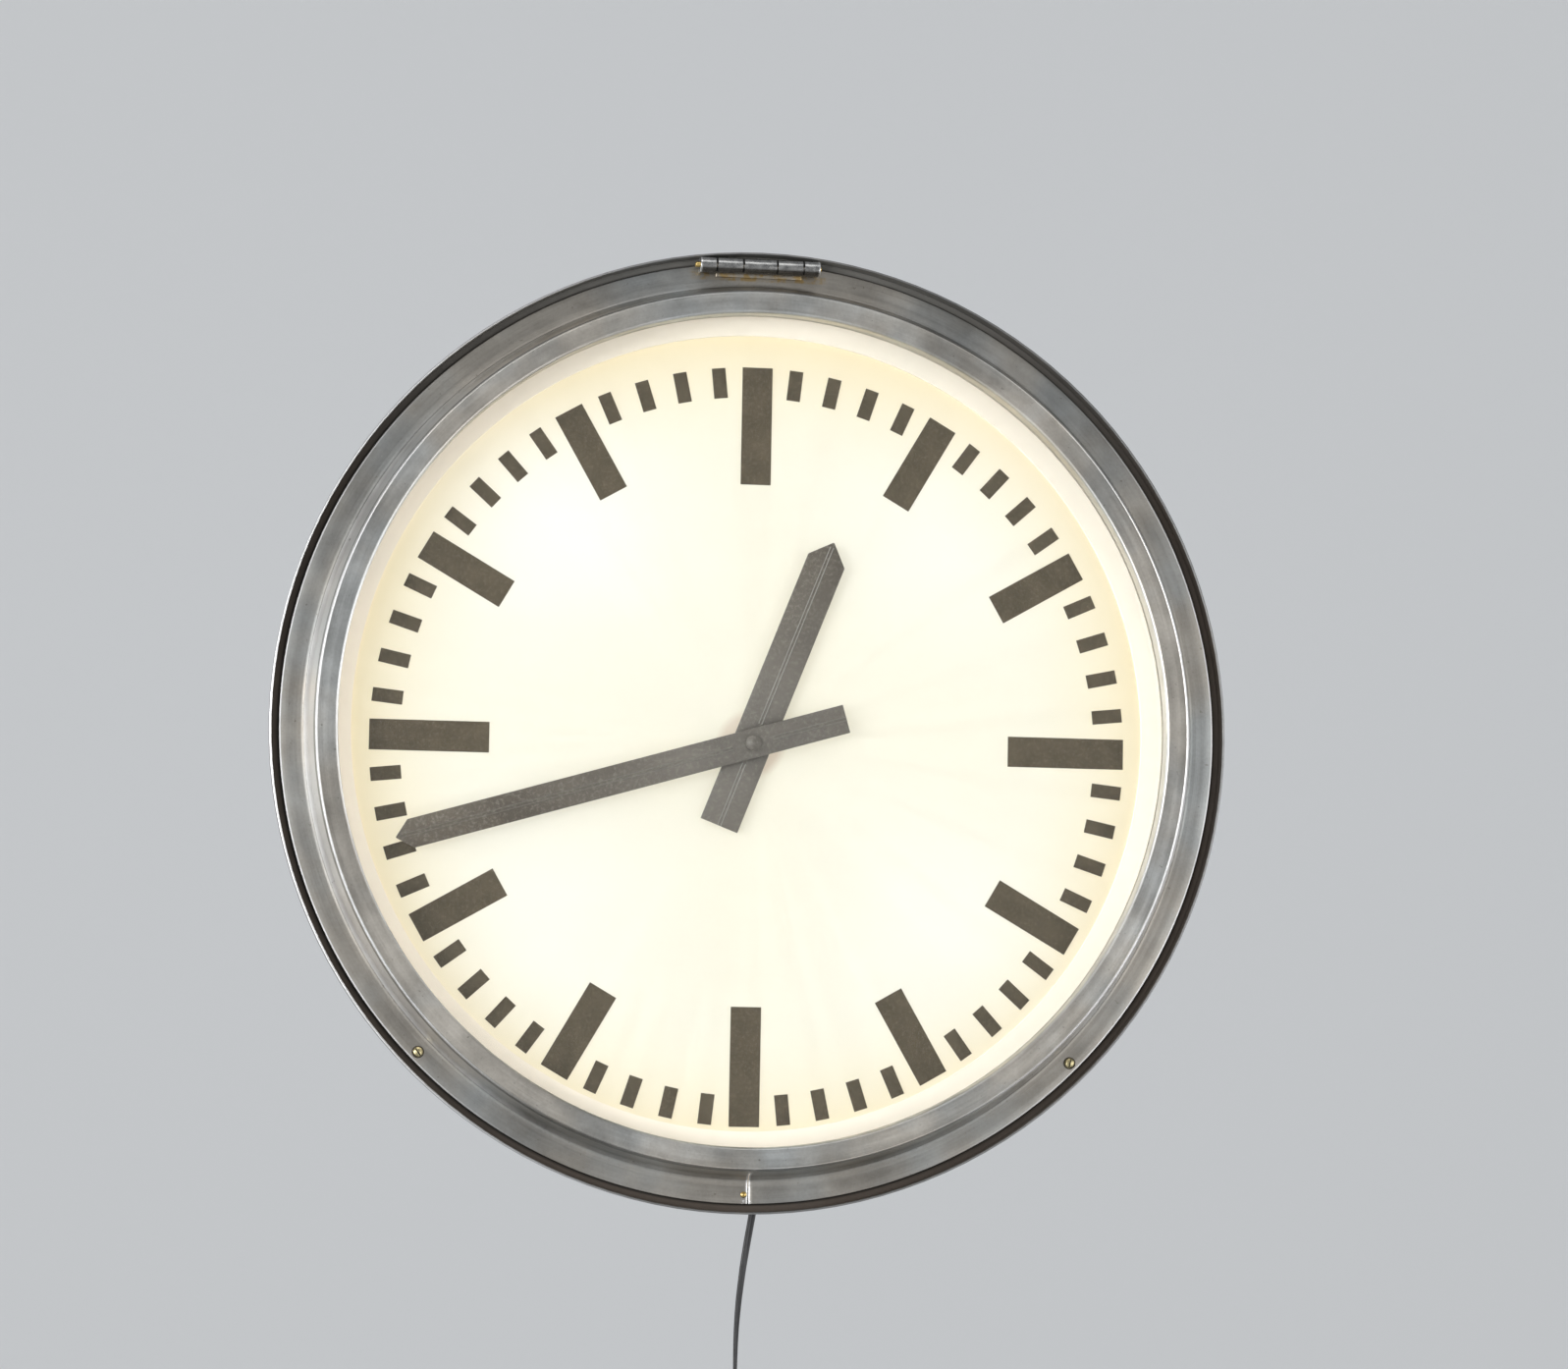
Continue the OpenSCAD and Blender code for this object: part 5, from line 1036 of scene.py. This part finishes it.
def make_hand(name, body, node, material, turn, low, tip, tail, wide, point, bore):
    """Hand that points up, its tip and tail measured from its axis, and is then turned."""
    bm = bmesh.new()
    side, shoulder, top, hub_clear = wide / 2, tip - point, low + HAND_T, 14
    outline = [(-side, -tail), (side, -tail), (side, shoulder), (0.4, tip), (-0.4, tip), (-side, shoulder)]
    angles = [-math.tau * k / 40 for k in range(40)]
    hole = [(bore * math.cos(a), bore * math.sin(a)) for a in angles]
    rims = []
    for z in (low, top):
        outer = chain(bm, [(x, y, z) for x, y in outline])
        inner = chain(bm, [(x, y, z) for x, y in hole])
        bmesh.ops.triangle_fill(bm, edges=outer + inner, use_beauty=True)
        rims.append((outer, inner))
    for lower, upper in zip(*rims):
        bmesh.ops.bridge_loops(bm, edges=lower + upper)
    bmesh.ops.recalc_face_normals(bm, faces=bm.faces)
    soften(bm, list(rims[1][0]), 0.3, 2)
    for start, end in ((hub_clear, tip - 3.2), (-tail, -hub_clear)):
        for rib_side in (-1, 1):
            add_rib_edge(bm, rib_side, start, end, top)
    turned(bm, turn)
    bmesh.ops.translate(bm, vec=(0, DIAL_Y, 0), verts=bm.verts)
    finished(name, bm, material, body, (node,), 30)


def make_nut():
    """Domed cap nut with a blind bore."""
    low, floor, high, r, bore, dome_r = 127, 129.7, 131, 5, 1.9, 7.5
    profile = [(bore, low), (r, low), (r, low + 2)] + arc((0, high - dome_r), dome_r, 48.2, 84, 8)
    profile += [(0.7, high - 0.3), (0.001, high - 0.35), (0.001, floor), (bore, floor)]
    bm = turned_part(bmesh.new(), profile, 48, along((0, 0, 1), (0, DIAL_Y, 0)))
    finished("domed_nut", bm, hand_dark, "minute", ("hand_nut",), 35)


make_window_band()
make_cove()
make_hinge()
make_lock_screws()
make_hand(
    "hour_bar", "hour", "hour_hand", hour_black, HOUR_TURN, HOUR_LOW,
    tip=144, tail=58, wide=26, point=13, bore=4.52,
)
make_hand(
    "minute_bar", "minute", "minute_hand", minute_black, MINUTE_TURN, MINUTE_LOW,
    tip=241, tail=64, wide=19, point=10, bore=2.02,
)
make_nut()

# Floor, backdrop and light

PALE = (0.78, 0.79, 0.80)
LIT_POINT = Vector((0, -0.1, 0))
SKY_GLOW, SKY_SEEN = 0.55, 0.98


def stage():
    """Pale floor that sweeps up far behind the clock."""
    bm = bmesh.new()
    low, high, far, near, wide, bend = -1.35, 7.0, 5.5, -7.0, 9.0, 2.0
    section = [(near, low)] + arc((far - bend, low + bend), bend, -90, 0, 15) + [(far, high)]
    verts = [bm.verts.new((-wide, y, z)) for y, z in section]
    edges = [bm.edges.new(pair) for pair in zip(verts, verts[1:])]
    out = bmesh.ops.extrude_edge_only(bm, edges=edges)["geom"]
    bmesh.ops.translate(bm, vec=(2 * wide, 0, 0), verts=verts_in(out))
    mesh = bpy.data.meshes.new("backdrop")
    bm.to_mesh(mesh)
    bm.free()
    mesh.polygons.foreach_set("use_smooth", [True] * len(mesh.polygons))
    floor = bpy.data.objects.new("backdrop", mesh)
    bpy.context.collection.objects.link(floor)
    mesh.materials.append(backdrop_paint())


def backdrop_paint():
    """Pale matt paint that keeps shadows and looks pale in glass and metal too."""
    f = Finish("backdrop", Roughness=0.9)
    f.set("Base Color", PALE)
    path = f.add("ShaderNodeLightPath")
    seen = f.maths("MAXIMUM", path.outputs["Is Camera Ray"], path.outputs["Is Glossy Ray"])
    seen = f.maths("MAXIMUM", seen, path.outputs["Is Transmission Ray"])
    f.mix_shaders(f.times(seen, 0.6), f.add("ShaderNodeEmission", Color=(0.66, 0.68, 0.70)))
    return f.material


def soft_light(name, place, size, power):
    """Area light that looks at the clock, in metres and watts."""
    light = bpy.data.lights.new(name, "AREA")
    light.shape = "RECTANGLE"
    light.size, light.size_y = size
    light.energy = power
    lamp = bpy.data.objects.new(name, light)
    aim = (LIT_POINT - Vector(place)).to_track_quat("-Z", "Y")
    lamp.matrix_world = Matrix.Translation(place) @ aim.to_matrix().to_4x4()
    bpy.context.collection.objects.link(lamp)


def make_sky():
    """Grey surroundings, which look paler to the camera than they shine."""
    world = bpy.data.worlds.new("studio")
    bpy.context.scene.world = world
    world.use_nodes = True
    tree = world.node_tree
    sky = tree.nodes["Background"]
    sky.inputs["Color"].default_value = (0.56, 0.57, 0.58, 1)
    path = tree.nodes.new("ShaderNodeLightPath")
    paler = tree.nodes.new("ShaderNodeMapRange")
    paler.inputs["To Min"].default_value = SKY_GLOW
    paler.inputs["To Max"].default_value = SKY_SEEN
    tree.links.new(path.outputs["Is Camera Ray"], paler.inputs["Value"])
    tree.links.new(paler.outputs["Result"], sky.inputs["Strength"])


def place_lights():
    soft_light("left_window", (-2.3, -2.2, 0.1), (2.4, 0.85), 58)
    soft_light("left_low", (-1.9, -2.3, -0.95), (1.5, 0.6), 9)
    soft_light("left_front", (-0.85, -3.0, 0.1), (0.95, 1.2), 2.8)
    soft_light("right_low", (2.15, -2.8, -0.45), (1.6, 2.0), 30)
    soft_light("right_side", (3.0, -1.0, 0.0), (1.6, 2.0), 20)
    soft_light("ceiling", (-0.2, -2.4, 3.0), (2.6, 1.6), 22)


stage()
make_sky()
place_lights()
bpy.context.scene.view_settings.view_transform = "Standard"
